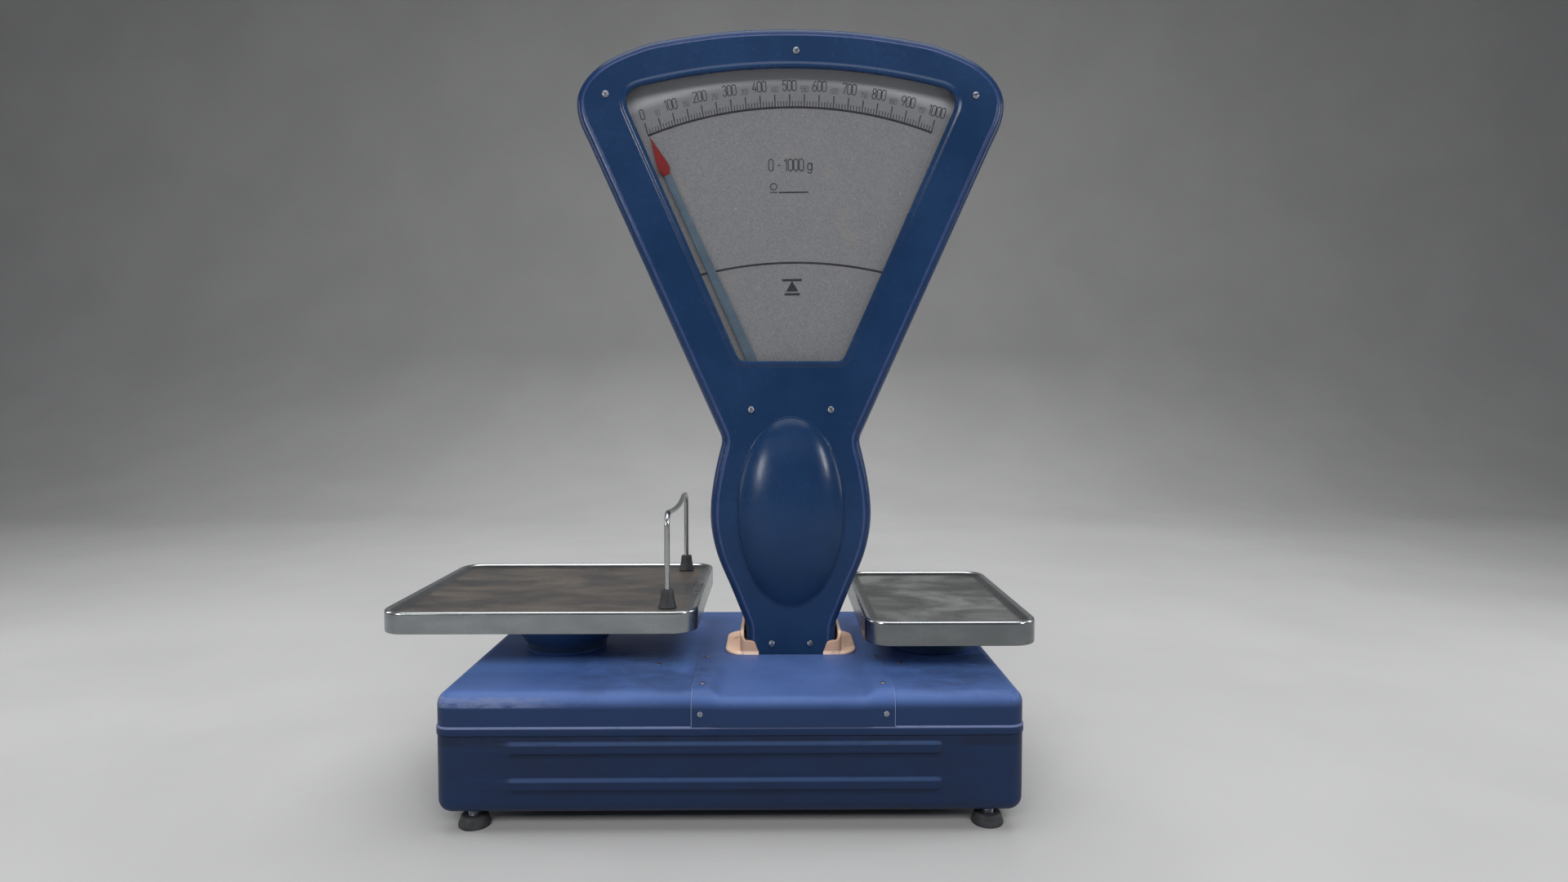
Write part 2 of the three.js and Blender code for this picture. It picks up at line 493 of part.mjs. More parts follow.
// Drawn level about its own pivot.
function makeTransferLever() {
  const { longArm, shortArm } = LEVER;
  const half = [[-longArm, 4], [0, 6], [shortArm, 4]];
  const strip = wall(polygon([...half.map(([x, z]) => [x, -z]), ...[...half].reverse()]), -3, 3);
  const ends = [-longArm, shortArm].flatMap((x) =>
    [bar('y', 4, 6, x, 0, 0), bar('y', PIN.small, 14, x, 0, 0)]);
  return join(strip, ...ends, bar('y', PIN.radius, 32, 0, 0, 0));
}
const LEVER_REST = radians(LEVER_TRAVEL / 2);
const hookLowZ = LEVER.z - LEVER.shortArm * Math.sin(LEVER_REST);
const forkZ = LEVER.z + LEVER.longArm * Math.sin(LEVER_REST);
const ROD_X = LEVER.x - LEVER.longArm;
function makeShackle() {
  const block = box(HOOK_X - 5, HOOK_X + 5, -5.6, 5.6, hookLowZ - 5, BEAM_Z + 6);
  const slot = box(HOOK_X - 9, HOOK_X + 9, -3.5, 3.5, 0, hookLowZ + 14);
  return cut(block, slot, bar('y', PIN.hole, 20, HOOK_X, 0, BEAM_Z),
    bar('y', PIN.hole, 20, HOOK_X, 0, hookLowZ));
}
function makeDraftRod() {
  const top = 280, tapeTop = PIVOT_Z + 4;
  const fork = cut(box(ROD_X - 5, ROD_X + 5, -5.6, 5.6, forkZ - 5, forkZ + 11),
    box(ROD_X - 9, ROD_X + 9, -3.5, 3.5, 0, forkZ + 7), bar('y', PIN.hole, 20, ROD_X, 0, forkZ));
  const rod = bar('z', 1.6, top - forkZ - 10, ROD_X, 0, (top + forkZ + 10) / 2, 10);
  const tape = box(ROD_X - GAP, ROD_X + GAP, -2.5, 2.5, top - 4, tapeTop);
  return join(fork, rod, tape);
}
function addDamper() {
  const { x, y, radius, bore, top, piston } = DAMPER;
  const low = BASE.bottom + SHEET + GAP;
  add('damper_cylinder', turned([[0, low], [radius, low], [radius, top], [bore, top],
    [bore, low + 2], [0, low + 2]], x, y), CAST);
  const head = BEAM.top + 0.4;
  add('damper_piston', turned([[0, 45], [piston, 45], [piston, 48], [2, 48], [2, head],
    [6, head], [6, head + 4], [0, head + 4]], x, y, 20), BRIGHT);
}
function addWorks() {
  add('mechanism_stand', makeStand(), CAST);
  add('beam', makeBeam(), CAST);
  KNIVES.forEach(([name, x, up]) => add(name, knife(x, up, KNIFE.reach), BRIGHT));
  add('stay_bar', makeStayBar(), BRIGHT);
  const lever = add('transfer_lever', makeTransferLever(), CAST);
  lever.position.set(LEVER.x, 0, LEVER.z);
  lever.rotation.y = LEVER_REST;
  add('shackle', makeShackle(), BRIGHT);
  add('draft_rod', makeDraftRod(), BRIGHT);
  addDamper();
}

// ---------------------------------------------------------------- pans and what carries them
const DISH = { skirtOuter: 40, skirtInner: 38.3, rim: 60, hubDrop: 23 };
function makeDish(x, skirtZ, top) {
  const { skirtOuter, skirtInner, rim, hubDrop } = DISH;
  const web = top - hubDrop;
  return turned([[0, web], [36, web], [skirtInner, web - 3], [skirtInner, skirtZ],
    [skirtOuter, skirtZ], [skirtOuter + 1, 130], [48, 138], [57, top - 12], [rim, top],
    [rim - 3, top], [rim - 6, top - 12], [48, web + 4], [0, web + 4]], x, 0);
}
function makeStemCollar(x) {
  const low = BASE.top + GAP;
  return turned([[33, low], [37.7, low], [37.7, low + 7.5], [36.5, low + 8.5], [33, low + 8.5],
    [33, low]], x, 0);
}
function makePan({ x, halfWidth, rim, skirt }) {
  const { halfDepth, corner, sheet, recess, slope, crest } = PAN;
  const plan = roundedRectangle(halfWidth, halfDepth, corner, x, 0);
  const low = rim - skirt, floor = rim - recess;
  const round = { edge: 2 };
  const bowl = (grow) => slab(plan, floor - grow, rim + 30 - grow,
    { edge: recess, side: slope, inset: crest - grow });
  const outer = cut(slab(plan, low - 10, rim, round), box(-WIDE, WIDE, -WIDE, WIDE, 0, low));
  const under = slab(plan, low - 20, rim - sheet, { ...round, inset: sheet });
  return cut(outer, bowl(0), cut(under, bowl(sheet)));
}
const GUARD = { x: -110.5, frontY: -82, backY: 94, top: 258.5, radius: 2.25, bend: 11, jog: 3 };
function makeGuardWire() {
  const { x, frontY, backY, top, radius, bend, jog } = GUARD;
  const floor = GOODS_PAN.rim - PAN.recess + GAP;
  const route = [[x, frontY, floor], [x, frontY, floor + 30], [x, frontY, top - 2 * bend],
    [x, frontY, top - bend], [x, frontY + 0.3 * bend, top - 0.3 * bend],
    [x, frontY + bend, top], [x + jog / 2, frontY + 45, top], [x + jog, (frontY + backY) / 2, top],
    [x + jog / 2, backY - 45, top], [x, backY - bend, top],
    [x, backY - 0.3 * bend, top - 0.3 * bend], [x, backY, top - bend],
    [x, backY, top - 2 * bend], [x, backY, floor + 30], [x, backY, floor]];
  const path = new THREE.CatmullRomCurve3(route.map((p) => new THREE.Vector3(...p)), false,
    'centripetal');
  const section = new THREE.Shape(new THREE.EllipseCurve(0, 0, radius, radius).getPoints(8)
    .slice(0, 8));
  return solid(new THREE.ExtrudeGeometry(section, { steps: 40, extrudePath: path }));
}
function makeBush(y) {
  const low = GOODS_PAN.rim - PAN.recess + GAP;
  const cone = turned([[0, low], [8, low], [5.5, low + 16], [0, low + 16]], GUARD.x, y, 16);
  return cut(cone, bar('z', GUARD.radius + GAP, 60, GUARD.x, y, low));
}
function addPans() {
  const dishTop = (pan) => pan.rim - PAN.recess - PAN.sheet - GAP;
  [['goods', GOODS_PAN, 127.8], ['weights', WEIGHTS_PAN, 120.3]].forEach(([name, pan, skirtZ]) => {
    const top = dishTop(pan);
    add(`${name}_collar`, makeStemCollar(pan.x), BLUE);
    add(`${name}_carrier`, makeCarrier(pan.x, top - DISH.hubDrop - GAP), CAST);
    add(`${name}_dish`, makeDish(pan.x, skirtZ, top), BLUE);
    add(`${name}_pan`, makePan(pan), STAINLESS);
  });
  add('guard_wire', makeGuardWire(), BRIGHT);
  add('guard_bush_front', makeBush(GUARD.frontY), RUBBER);
  add('guard_bush_rear', makeBush(GUARD.backY), RUBBER);
}

// ---------------------------------------------------------------- assembly
addBase();
addFeet();
addHead();
add('column_collar', makeColumnCollar(), BEIGE);
addHeadWorks();
addWorks();
addPans();

// The origin is the middle of the overall box, at table height.
part.updateMatrixWorld(true);
const middle = new THREE.Box3().setFromObject(part, true).getCenter(new THREE.Vector3());
part.position.set(-middle.x, -middle.y, 0);

export default part;
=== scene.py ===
from math import asin, atan2, copysign, cos, dist, hypot, pi, radians, sin, sqrt, tau

import bmesh
import bpy
from mathutils import Matrix, Vector


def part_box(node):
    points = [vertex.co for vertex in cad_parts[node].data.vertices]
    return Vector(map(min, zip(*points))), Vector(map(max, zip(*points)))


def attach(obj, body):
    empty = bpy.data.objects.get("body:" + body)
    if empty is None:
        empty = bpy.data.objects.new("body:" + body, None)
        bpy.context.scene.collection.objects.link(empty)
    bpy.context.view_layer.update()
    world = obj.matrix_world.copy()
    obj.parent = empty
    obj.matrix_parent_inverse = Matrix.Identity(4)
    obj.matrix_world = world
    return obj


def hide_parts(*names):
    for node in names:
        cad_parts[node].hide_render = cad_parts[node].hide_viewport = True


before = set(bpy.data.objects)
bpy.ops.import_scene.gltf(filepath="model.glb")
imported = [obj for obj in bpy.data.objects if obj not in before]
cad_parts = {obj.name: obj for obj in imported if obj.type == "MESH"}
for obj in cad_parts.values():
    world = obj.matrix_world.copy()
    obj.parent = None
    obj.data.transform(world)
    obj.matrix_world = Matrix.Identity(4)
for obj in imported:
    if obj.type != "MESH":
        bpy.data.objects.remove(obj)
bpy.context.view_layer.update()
scene = bpy.context.scene

# Pieces are drawn in millimetres about the middle of the dial head, then put in the part's frame.
MM = 0.001
front_low, front_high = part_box("front_housing")
rear_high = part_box("rear_housing")[1]
ORIGIN = Vector(((front_low.x + front_high.x) / 2, (front_low.y + rear_high.y) / 2, 0))


# ------------------------------------------------------------------ sizes, in millimetres
LEFT, RIGHT, HALF_Y = -296.3, 192.8, 147.0
BOTTOM, SPLIT, LIP_TOP, TOP = 17.4, 83.5, 91.0, 119.0
MID_X, HALF_X = (LEFT + RIGHT) / 2, (RIGHT - LEFT) / 2
CORNER, FILLET, SKIN, SHEET = 14.0, 11.0, 0.8, 2.0
RIB_X, RIB_HEIGHTS, RIB_REACH, RIB_HALF, RIB_PROUD = MID_X - 4.6, (73.3, 43.0), 174.6, 6.2, 2.1
FEET = [(MID_X + sx * (HALF_X - 27), sy * (HALF_Y - 22.5)) for sy in (-1, 1) for sx in (-1, 1)]
PIVOT = 321.8
SEAT = 119.3
SCALE_RADIUS, SCALE_Z, SCALE_HALF = 366.0, 265.5, radians(21.15)
# each pan: x, half width, height of the rim, height of the skirt, foot of the dish's skirt
PANS = {"goods": (-218, 136, 179, 19, 127.8), "weights": (138, 74.5, 169.7, 21, 120.3)}


def add(name, data):
    thing = bpy.data.objects.new(name, data)
    scene.collection.objects.link(thing)
    return thing


# ------------------------------------------------------------------ camera
def make_camera():
    """In front of the scale, at about half its height, turned slightly down."""
    data = bpy.data.cameras.new("camera")
    data.sensor_width = 36
    data.lens = 20.625
    data.clip_start, data.clip_end = 0.05, 60
    camera = add("camera", data)
    camera.location = ORIGIN + Vector((-15.6, -872.6, 359.6)) * MM
    camera.rotation_euler = (radians(90 - 2.65), 0, radians(-0.625))
    scene.camera = camera


make_camera()


# ------------------------------------------------------------------ materials
class Paint:
    """A node material; every pattern is in the part's frame, in metres."""

    def __init__(self, name, **constants):
        self.material = bpy.data.materials.new(name)
        self.material.use_nodes = True
        self.nodes = self.material.node_tree.nodes
        self.links = self.material.node_tree.links
        self.shader = self.nodes["Principled BSDF"]
        self.place = self.nodes.new("ShaderNodeTexCoord").outputs["Object"]
        split = self.nodes.new("ShaderNodeSeparateXYZ")
        self.links.new(self.place, split.inputs[0])
        self.x, self.y, self.z = split.outputs
        for key, value in constants.items():
            self.shader.inputs[key.replace("_", " ")].default_value = value

    def feed(self, socket, value):
        if isinstance(value, bpy.types.NodeSocket):
            self.links.new(value, socket)
        elif isinstance(value, tuple):
            socket.default_value = (*value, 1.0)[:4] if socket.type == "RGBA" else value
        else:
            socket.default_value = value

    def math(self, operation, a, b=0.0):
        node = self.nodes.new("ShaderNodeMath")
        node.operation = operation
        self.feed(node.inputs[0], a)
        self.feed(node.inputs[1], b)
        return node.outputs[0]

    def times(self, *values):
        result = values[0]
        for value in values[1:]:
            result = self.math("MULTIPLY", result, value)
        return result

    def step(self, value, low, high, start=0.0, end=1.0):
        """Goes smoothly from start at low to end at high."""
        node = self.nodes.new("ShaderNodeMapRange")
        node.interpolation_type = "SMOOTHSTEP"
        for key, number in (("Value", value), ("From Min", low), ("From Max", high),
                            ("To Min", start), ("To Max", end)):
            self.feed(node.inputs[key], number)
        return node.outputs["Result"]

    def band(self, value, low, high, soft):
        """1 between low and high, fading over soft on both sides."""
        return self.times(self.step(value, low - soft, low), self.step(value, high, high + soft, 1.0, 0.0))

    def away(self, value, middle):
        return self.math("ABSOLUTE", self.less(value, middle))

    def either(self, a, b):
        return self.math("MAXIMUM", a, b)

    def plus(self, a, b):
        return self.math("ADD", a, b)

    def less(self, a, b):
        return self.math("SUBTRACT", a, b)

    def noise(self, scale, detail=4.0, rough=0.55, stretch=(1, 1, 1), shift=(0, 0, 0), twist=0.0):
        mapping = self.nodes.new("ShaderNodeMapping")
        self.links.new(self.place, mapping.inputs["Vector"])
        mapping.inputs["Scale"].default_value = stretch
        mapping.inputs["Location"].default_value = shift
        node = self.nodes.new("ShaderNodeTexNoise")
        self.links.new(mapping.outputs[0], node.inputs["Vector"])
        for key, number in (("Scale", scale), ("Detail", detail), ("Roughness", rough), ("Distortion", twist)):
            node.inputs[key].default_value = number
        return node.outputs["Fac"]

    def mix(self, amount, a, b):
        node = self.nodes.new("ShaderNodeMix")
        node.data_type = "RGBA"
        for index, value in ((0, amount), (6, a), (7, b)):
            self.feed(node.inputs[index], value)
        return node.outputs[2]

    def ground(self, pattern, low, high, dark, light):
        """The first colours: dark where the pattern is below low, light where it is above high."""
        self.colour = self.mix(self.step(pattern, low, high), dark, light)

    def coat(self, colour, *amounts):
        """Lays a colour over what is there, by the product of the amounts."""
        self.colour = self.mix(self.times(*amounts), self.colour, colour)

    def bump(self, height, strength, distance, normal=None):
        node = self.nodes.new("ShaderNodeBump")
        node.inputs["Strength"].default_value = strength
        node.inputs["Distance"].default_value = distance
        self.links.new(height, node.inputs["Height"])
        if normal is not None:
            self.links.new(normal, node.inputs["Normal"])
        return node.outputs[0]

    def finish(self, roughness, normal=None):
        self.feed(self.shader.inputs["Base Color"], self.colour)
        self.feed(self.shader.inputs["Roughness"], roughness)
        if normal is not None:
            self.links.new(normal, self.shader.inputs["Normal"])
        return self.material


def enamel_base():
    p = Paint("blue_enamel_base", Specular_IOR_Level=0.20)
    x, y, z = p.x, p.y, p.z
    over = p.less(x, ORIGIN.x)
    broad, fine = p.noise(9, 5, 0.6), p.noise(120, 4, 0.65)
    p.ground(broad, 0.3, 0.7, (0.062, 0.116, 0.300), (0.082, 0.148, 0.370))
    p.coat((0.105, 0.175, 0.40), p.step(fine, 0.45, 0.75, 0.0, 0.25))
    # painted light: the flat top is painted paler under the pans, against the shadow they cast; the collars and
    # dishes under the pans are painted darker
    top = p.step(z, 0.1150, 0.1185)
    under_pans = p.either(p.band(over, -0.340, -0.100, 0.02), p.band(over, 0.080, 0.200, 0.02))
    under_pans = p.times(under_pans, p.step(y, -0.122, -0.080), p.step(y, 0.122, 0.080))
    p.coat((0.135, 0.270, 0.68), top, under_pans, p.step(z, 0.1225, 0.1200), 0.9)
    p.coat((0.048, 0.104, 0.205), under_pans, p.step(z, 0.1200, 0.1225))
    # soot and oil on the flat top, in streaks and clouds, heavier to the right of the plate
    clouds = p.noise(26, 6, 0.62, (1, 1.5, 1), (0.3, 0.1, 0), 0.6)
    left = p.times(p.band(x, -0.105, -0.02, 0.05), p.step(y, 0.03, -0.06), 0.8)
    right = p.times(p.step(x, 0.15, 0.19), p.step(y, 0.10, 0.0))
    soot = p.times(top, p.either(left, right), p.step(clouds, 0.36, 0.62))
    p.coat((0.036, 0.048, 0.090), soot, 0.42)
    # painted shade: the walls are painted darker than the flat top; they are also darker low down, in clouds, and
    # towards the middle
    p.coat((0.0076, 0.0208, 0.0635),
           p.plus(p.step(z, 0.1155, 0.1045, 0.0, 0.90), p.step(z, 0.0905, 0.0875, 0.0, 0.06)))
    p.coat((0.011, 0.017, 0.035), p.step(z, 0.088, 0.06), p.step(p.noise(14, 6, 0.7, (1, 1, 1.6)), 0.40, 0.7), 0.45)
    p.coat((0.006, 0.010, 0.026), p.step(z, 0.088, 0.080), p.band(over, -0.22, 0.13, 0.14), 0.22)
    # rubbed paint along the bend above the front wall, thickest at the left end, and at the top corners; these light
    # bands are also a painted highlight of the bend and the corners
    ragged = p.noise(70, 6, 0.7, (1, 1, 3.0), (0.7, 0, 0))
    bend = p.times(p.band(z, 0.1078, 0.1146, 0.0012), p.step(y, -0.131, -0.137))
    ends = p.either(p.step(x, 0.03, -0.20), p.times(p.step(x, 0.16, 0.23), 0.55))
    p.coat((0.155, 0.19, 0.33), bend, ends, p.step(over, -0.170, -0.235, 0.15, 1.0), p.step(ragged, 0.30, 0.62), 0.80)
    p.coat((0.155, 0.20, 0.36), p.band(z, 0.1160, 0.1178, 0.0007),
           p.step(p.away(over, MID_X * MM), 0.2365, 0.2385), p.step(ragged, 0.25, 0.6), 0.6)
    # light line on the lip, worn paint and a painted highlight of its edge; painted shade under it
    p.coat((0.20, 0.24, 0.42), p.band(z, 0.0899, 0.0913, 0.0003), p.step(ragged, 0.2, 0.45), 0.65)
    p.coat((0.010, 0.014, 0.030), p.band(z, 0.0765, 0.0832, 0.003), p.step(clouds, 0.25, 0.6), 0.65)
    # the ribs: a painted highlight along the upper edge, painted shade below
    reach = p.step(p.away(over, RIB_X * MM), 0.181, 0.173)
    for height in RIB_HEIGHTS:
        rise = p.less(z, height * MM)
        p.coat((0.037, 0.072, 0.172), reach, p.band(rise, 0.0032, 0.0052, 0.0010), p.step(y, -0.140, -0.144),
               p.step(ragged, 0.1, 0.5, 0.22, 0.60))
        p.coat((0.005, 0.008, 0.018), reach, p.band(rise, -0.0078, -0.0048, 0.0012), p.step(y, -0.138, -0.142), 0.34)
    # paint rubbed off along the rim of the bent plate, also a painted highlight of its edges
    flank = p.away(over, 0.0)
    side = p.times(p.band(flank, 0.0836, 0.0842, 0.0002), p.step(y, -0.0385, -0.0390), p.step(z, 0.0912, 0.0920))
    back = p.times(p.band(y, -0.0396, -0.0388, 0.0002), p.step(flank, 0.0845, 0.0842), p.step(z, 0.1195, 0.1200))
    p.coat((0.22, 0.27, 0.46), p.either(side, back), p.step(ragged, 0.1, 0.4), 0.7)
    rough = p.step(p.plus(broad, p.times(fine, 0.4)), 0.35, 0.95, 0.32, 0.50)
    rough = p.plus(rough, p.times(soot, 0.12))
    return p.finish(rough, p.bump(p.noise(22, 2, 0.4), 0.25, 0.0012, p.bump(p.noise(650, 2, 0.5), 0.10, 0.0004)))


def enamel_head():
    p = Paint("blue_enamel_head", Specular_IOR_Level=0.25)
    broad, fine = p.noise(11, 5, 0.6, (1, 1, 1), (0.2, 0.4, 0.1)), p.noise(170, 4, 0.65)
    p.ground(broad, 0.3, 0.7, (0.0072, 0.0272, 0.079), (0.0104, 0.0356, 0.100))
    p.coat((0.020, 0.052, 0.140), p.step(fine, 0.5, 0.8, 0.0, 0.14))
    stain = p.noise(38, 6, 0.7, (1, 1, 0.6), (0.9, 0.2, 0), 0.4)
    p.coat((0.012, 0.024, 0.060), p.step(stain, 0.56, 0.72, 0.0, 0.25))
    # thin rubbed lines along the rolled edge and its step, also a painted highlight of these edges
    depth = p.away(p.y, ORIGIN.y)
    ragged = p.noise(55, 5, 0.7, (1, 1, 1), (0.1, 0.5, 0.3))
    edge = p.either(p.band(depth, 0.0361, 0.0367, 0.0001), p.times(p.band(depth, 0.0285, 0.0325, 0.0012), 0.8))
    p.coat((0.050, 0.072, 0.195), edge, p.step(ragged, 0.25, 0.6, 0.30, 0.80))
    # glossy above, handled and duller towards the foot
    rough = p.step(p.plus(broad, p.times(fine, 0.5)), 0.4, 1.0, 0.17, 0.30)
    rough = p.plus(rough, p.step(p.z, 0.270, 0.205, 0.0, 0.25))
    return p.finish(rough, p.bump(p.noise(30, 2, 0.4), 0.15, 0.0010, p.bump(p.noise(700, 2, 0.5), 0.09, 0.0004)))


def shaded(shade, colour):
    return tuple(shade * v for v in colour)


def pan_steel(name, x, half, rim, brown):
    """Stained sheet steel: darker on the sunk floor and in patches low on the skirt, with a painted highlight along
    the crest.
    """
    x, half, rim, floor_inset = ORIGIN.x + x * MM, half * MM, rim * MM, 0.013
    p = Paint(name, Metallic=1.0)
    brushed = p.noise(30, 3, 0.5, (1, 3, 3))
    shade = 1.0 if brown else 0.66
    p.ground(brushed, 0.3, 0.7, shaded(shade, (0.265, 0.285, 0.295)), shaded(shade, (0.33, 0.35, 0.36)))
    # painted highlight: lighter along the crest
    p.coat((0.62, 0.65, 0.66), p.step(p.z, rim - 0.0022, rim - 0.0010))
    floor = p.times(p.step(p.z, rim - 0.0026, rim - 0.0039), p.band(p.y, -0.1065, 0.1065, 0.003),
                    p.band(p.x, x - half + floor_inset, x + half - floor_inset, 0.004))
    patches = p.noise(15, 7, 0.60, (0.85, 1.25, 1), (0.15, 0.4, 0), 0.45)
    streaks = p.noise(32, 6, 0.62, (0.7, 1.5, 1), (0.5, 0.1, 0), 0.3)
    if brown:
        stain = p.mix(p.step(patches, 0.32, 0.66), (0.265, 0.258, 0.262), (0.45, 0.390, 0.340))
        stain = p.mix(p.step(streaks, 0.44, 0.70, 0.0, 0.5), stain, (0.210, 0.200, 0.200))
    else:
        stain = p.mix(p.step(patches, 0.34, 0.66), (0.30, 0.325, 0.31), (0.68, 0.71, 0.68))
        stain = p.mix(p.step(streaks, 0.46, 0.70, 0.0, 0.4), stain, (0.30, 0.325, 0.31))
    p.coat(stain, floor, 0.96)
    p.coat(shaded(shade, (0.22, 0.23, 0.225)), p.step(p.z, rim - 0.006, rim - 0.018), p.step(patches, 0.35, 0.6),
           p.step(floor, 0.5, 0.4), 0.30)
    rough = p.times(floor, p.step(patches, 0.3, 0.6, 0.10, 0.22))
    return p.finish(p.plus(p.step(brushed, 0.3, 0.7, 0.22, 0.28), rough))


def plain_metal(name, dark, light, rough_low, rough_high, scale=60, stretch=(1, 1, 1), grain=0.08):
    p = Paint(name, Metallic=1.0)
    cloud, fine = p.noise(scale, 5, 0.6, stretch), p.noise(scale * 9, 3, 0.6)
    p.ground(cloud, 0.3, 0.7, dark, light)
    rough = p.step(p.plus(cloud, p.times(fine, 0.4)), 0.35, 0.95, rough_low, rough_high)
    return p.finish(rough, p.bump(fine, grain, 0.0003))


def plain_matt(name, dark, light, rough, scale, grain):
    p = Paint(name, Specular_IOR_Level=0.4)
    cloud, fine = p.noise(scale, 5, 0.6), p.noise(scale * 12, 3, 0.65)
    p.ground(cloud, 0.3, 0.7, dark, light)
    return p.finish(p.step(fine, 0.3, 0.8, rough - 0.08, rough + 0.08), p.bump(fine, grain, 0.0003))


def dial_face():
    p = Paint("dial_lacquer", Specular_IOR_Level=0.3)
    grain, cloud = p.noise(760, 3, 0.75), p.noise(18, 6, 0.65)
    p.ground(grain, 0.30, 0.70, (0.148, 0.150, 0.163), (0.218, 0.221, 0.239))
    p.coat((0.175, 0.177, 0.183), p.step(cloud, 0.35, 0.7, 0.0, 0.25))
    p.coat((0.27, 0.243, 0.185), p.step(p.noise(26, 3, 0.5, (1, 1, 1), (0.33, 0.2, 0.9)), 0.62, 0.78, 0.0, 0.30))
    p.coat((0.52, 0.53, 0.54), p.step(p.noise(240, 2, 0.5, (1, 1, 1), (2.0, 0, 1.0)), 0.74, 0.80, 0.0, 0.5))
    # painted light: the lacquer is painted paler along the top arc, against the shadow that the window's frame casts
    # there
    across, up = p.less(p.x, ORIGIN.x), p.less(p.z, SCALE_Z * MM)
    reach = p.plus(p.times(across, across), p.times(up, up))
    p.coat((0.200, 0.203, 0.219), p.step(reach, 0.368 ** 2, 0.384 ** 2))
    p.coat((0.36, 0.365, 0.385), p.step(reach, 0.385 ** 2, 0.394 ** 2))
    return p.finish(p.step(cloud, 0.3, 0.7, 0.5, 0.7), p.bump(grain, 0.15, 0.0002))


def collar_plastic():
    p = Paint("collar_moulding", Specular_IOR_Level=0.4)
    cloud, fine = p.noise(40, 5, 0.6), p.noise(380, 4, 0.6)
    p.ground(cloud, 0.3, 0.7, (0.92, 0.62, 0.45), (0.96, 0.71, 0.54))
    # painted shade on the front faces of the upstand, with brown spots of dirt
    rise = p.times(p.step(p.z, 0.1228, 0.1245), p.step(p.y, -0.0300, -0.0375), 0.75)
    spots = p.step(p.noise(95, 5, 0.6, (1, 1, 1), (0.4, 0, 0)), 0.56, 0.72, 0.0, 0.55)
    p.coat((0.40, 0.235, 0.155), p.either(rise, spots))
    return p.finish(p.step(fine, 0.3, 0.7, 0.42, 0.58), p.bump(fine, 0.08, 0.0003))


def glass():
    p = Paint("window_glass", Specular_IOR_Level=0.5, IOR=1.5, Alpha=0.035)
    dust = p.noise(60, 5, 0.6)
    p.ground(dust, 0.4, 0.7, (0.08, 0.085, 0.09), (0.20, 0.205, 0.21))
    return p.finish(p.step(dust, 0.3, 0.7, 0.12, 0.24))


PAINT = {
    "base": enamel_base(),
    "head": enamel_head(),
    "goods": pan_steel("goods_pan_steel", *PANS["goods"][:3], True),
    "weights": pan_steel("weights_pan_steel", *PANS["weights"][:3], False),
    "screw": plain_metal("screw_steel", (0.24, 0.255, 0.30), (0.40, 0.42, 0.48), 0.30, 0.5, 300),
    "bright": plain_metal("bright_steel", (0.36, 0.375, 0.37), (0.52, 0.53, 0.52), 0.18, 0.28, 60,
                          (1, 1, 0.15), 0.01),
    "cast": plain_matt("cast_iron", (0.045, 0.048, 0.050), (0.085, 0.088, 0.090), 0.7, 90, 0.5),
    "brass": plain_metal("brass", (0.42, 0.28, 0.10), (0.58, 0.41, 0.17), 0.28, 0.42, 150),
    "dial": dial_face(),
    "pointer": plain_matt("pointer_paint", (0.060, 0.093, 0.128), (0.078, 0.118, 0.160), 0.55, 60, 0.1),
    "red": plain_matt("pointer_red", (0.145, 0.004, 0.005), (0.19, 0.005, 0.007), 0.5, 60, 0.1),
    "collar": collar_plastic(),
    "rubber": plain_matt("black_rubber", (0.028, 0.029, 0.033), (0.048, 0.049, 0.055), 0.62, 120, 0.35),
    "glass": glass(),
    "ink": plain_matt("dial_ink", (0.014, 0.014, 0.018), (0.024, 0.024, 0.028), 0.6, 200, 0.1),
    "grey_ink": plain_matt("dial_grey_ink", (0.032, 0.033, 0.036), (0.052, 0.053, 0.057), 0.6, 200, 0.1),
    "faint_ink": plain_matt("dial_faint_ink", (0.085, 0.087, 0.092), (0.115, 0.118, 0.125), 0.6, 200, 0.1),
}


# ------------------------------------------------------------------ mesh toolkit
def mesh_object(name, vertices, faces):
    mesh = bpy.data.meshes.new(name)
    mesh.from_pydata([tuple(v) for v in vertices], [], faces)
    mesh.update()
    return face_out(add(name, mesh))


def face_out(piece, weld=1e-4):
    bm = bmesh.new()
    bm.from_mesh(piece.data)
    bmesh.ops.remove_doubles(bm, verts=bm.verts, dist=weld)
    bmesh.ops.recalc_face_normals(bm, faces=bm.faces)
    bm.to_mesh(piece.data)
    bm.free()
    return piece


def loft(name, rings, closed=False):
    """Joins closed rings of equal length; the two end rings are capped unless the loft closes on itself."""
    size, count = len(rings[0]), len(rings)
    vertices = [p for ring in rings for p in ring]
    faces = []
    for i in range(count if closed else count - 1):
        a, b = i * size, (i + 1) % count * size
        for j in range(size):
            k = (j + 1) % size
            faces.append((a + j, a + k, b + k, b + j))
    if not closed:
        faces.append(tuple(reversed(range(size))))
        faces.append(tuple(range((count - 1) * size, count * size)))
    return mesh_object(name, vertices, faces)


def full_turn(sides):
    return [tau * k / sides for k in range(sides)]


def lathe(name, profile, sides=48, x=0.0, y=0.0, closed=False):
    """Turns a profile of (radius, z) about the upright line through (x, y)."""
    rings = [[(x + r * cos(a), y + r * sin(a), z) for a in full_turn(sides)] for r, z in profile]
    return loft(name, rings, closed)


def block(x0, x1, y0, y1, z0, z1):
    ring = [(x0, y0), (x1, y0), (x1, y1), (x0, y1)]
    return loft("cutter", [[(x, y, z) for x, y in ring] for z in (z0, z1)])


def bake(piece):
    graph = bpy.context.evaluated_depsgraph_get()
    mesh = bpy.data.meshes.new_from_object(piece.evaluated_get(graph))
    old = piece.data
    piece.modifiers.clear()
    piece.data = mesh
    bpy.data.meshes.remove(old)
    mesh.name = piece.name
    return piece


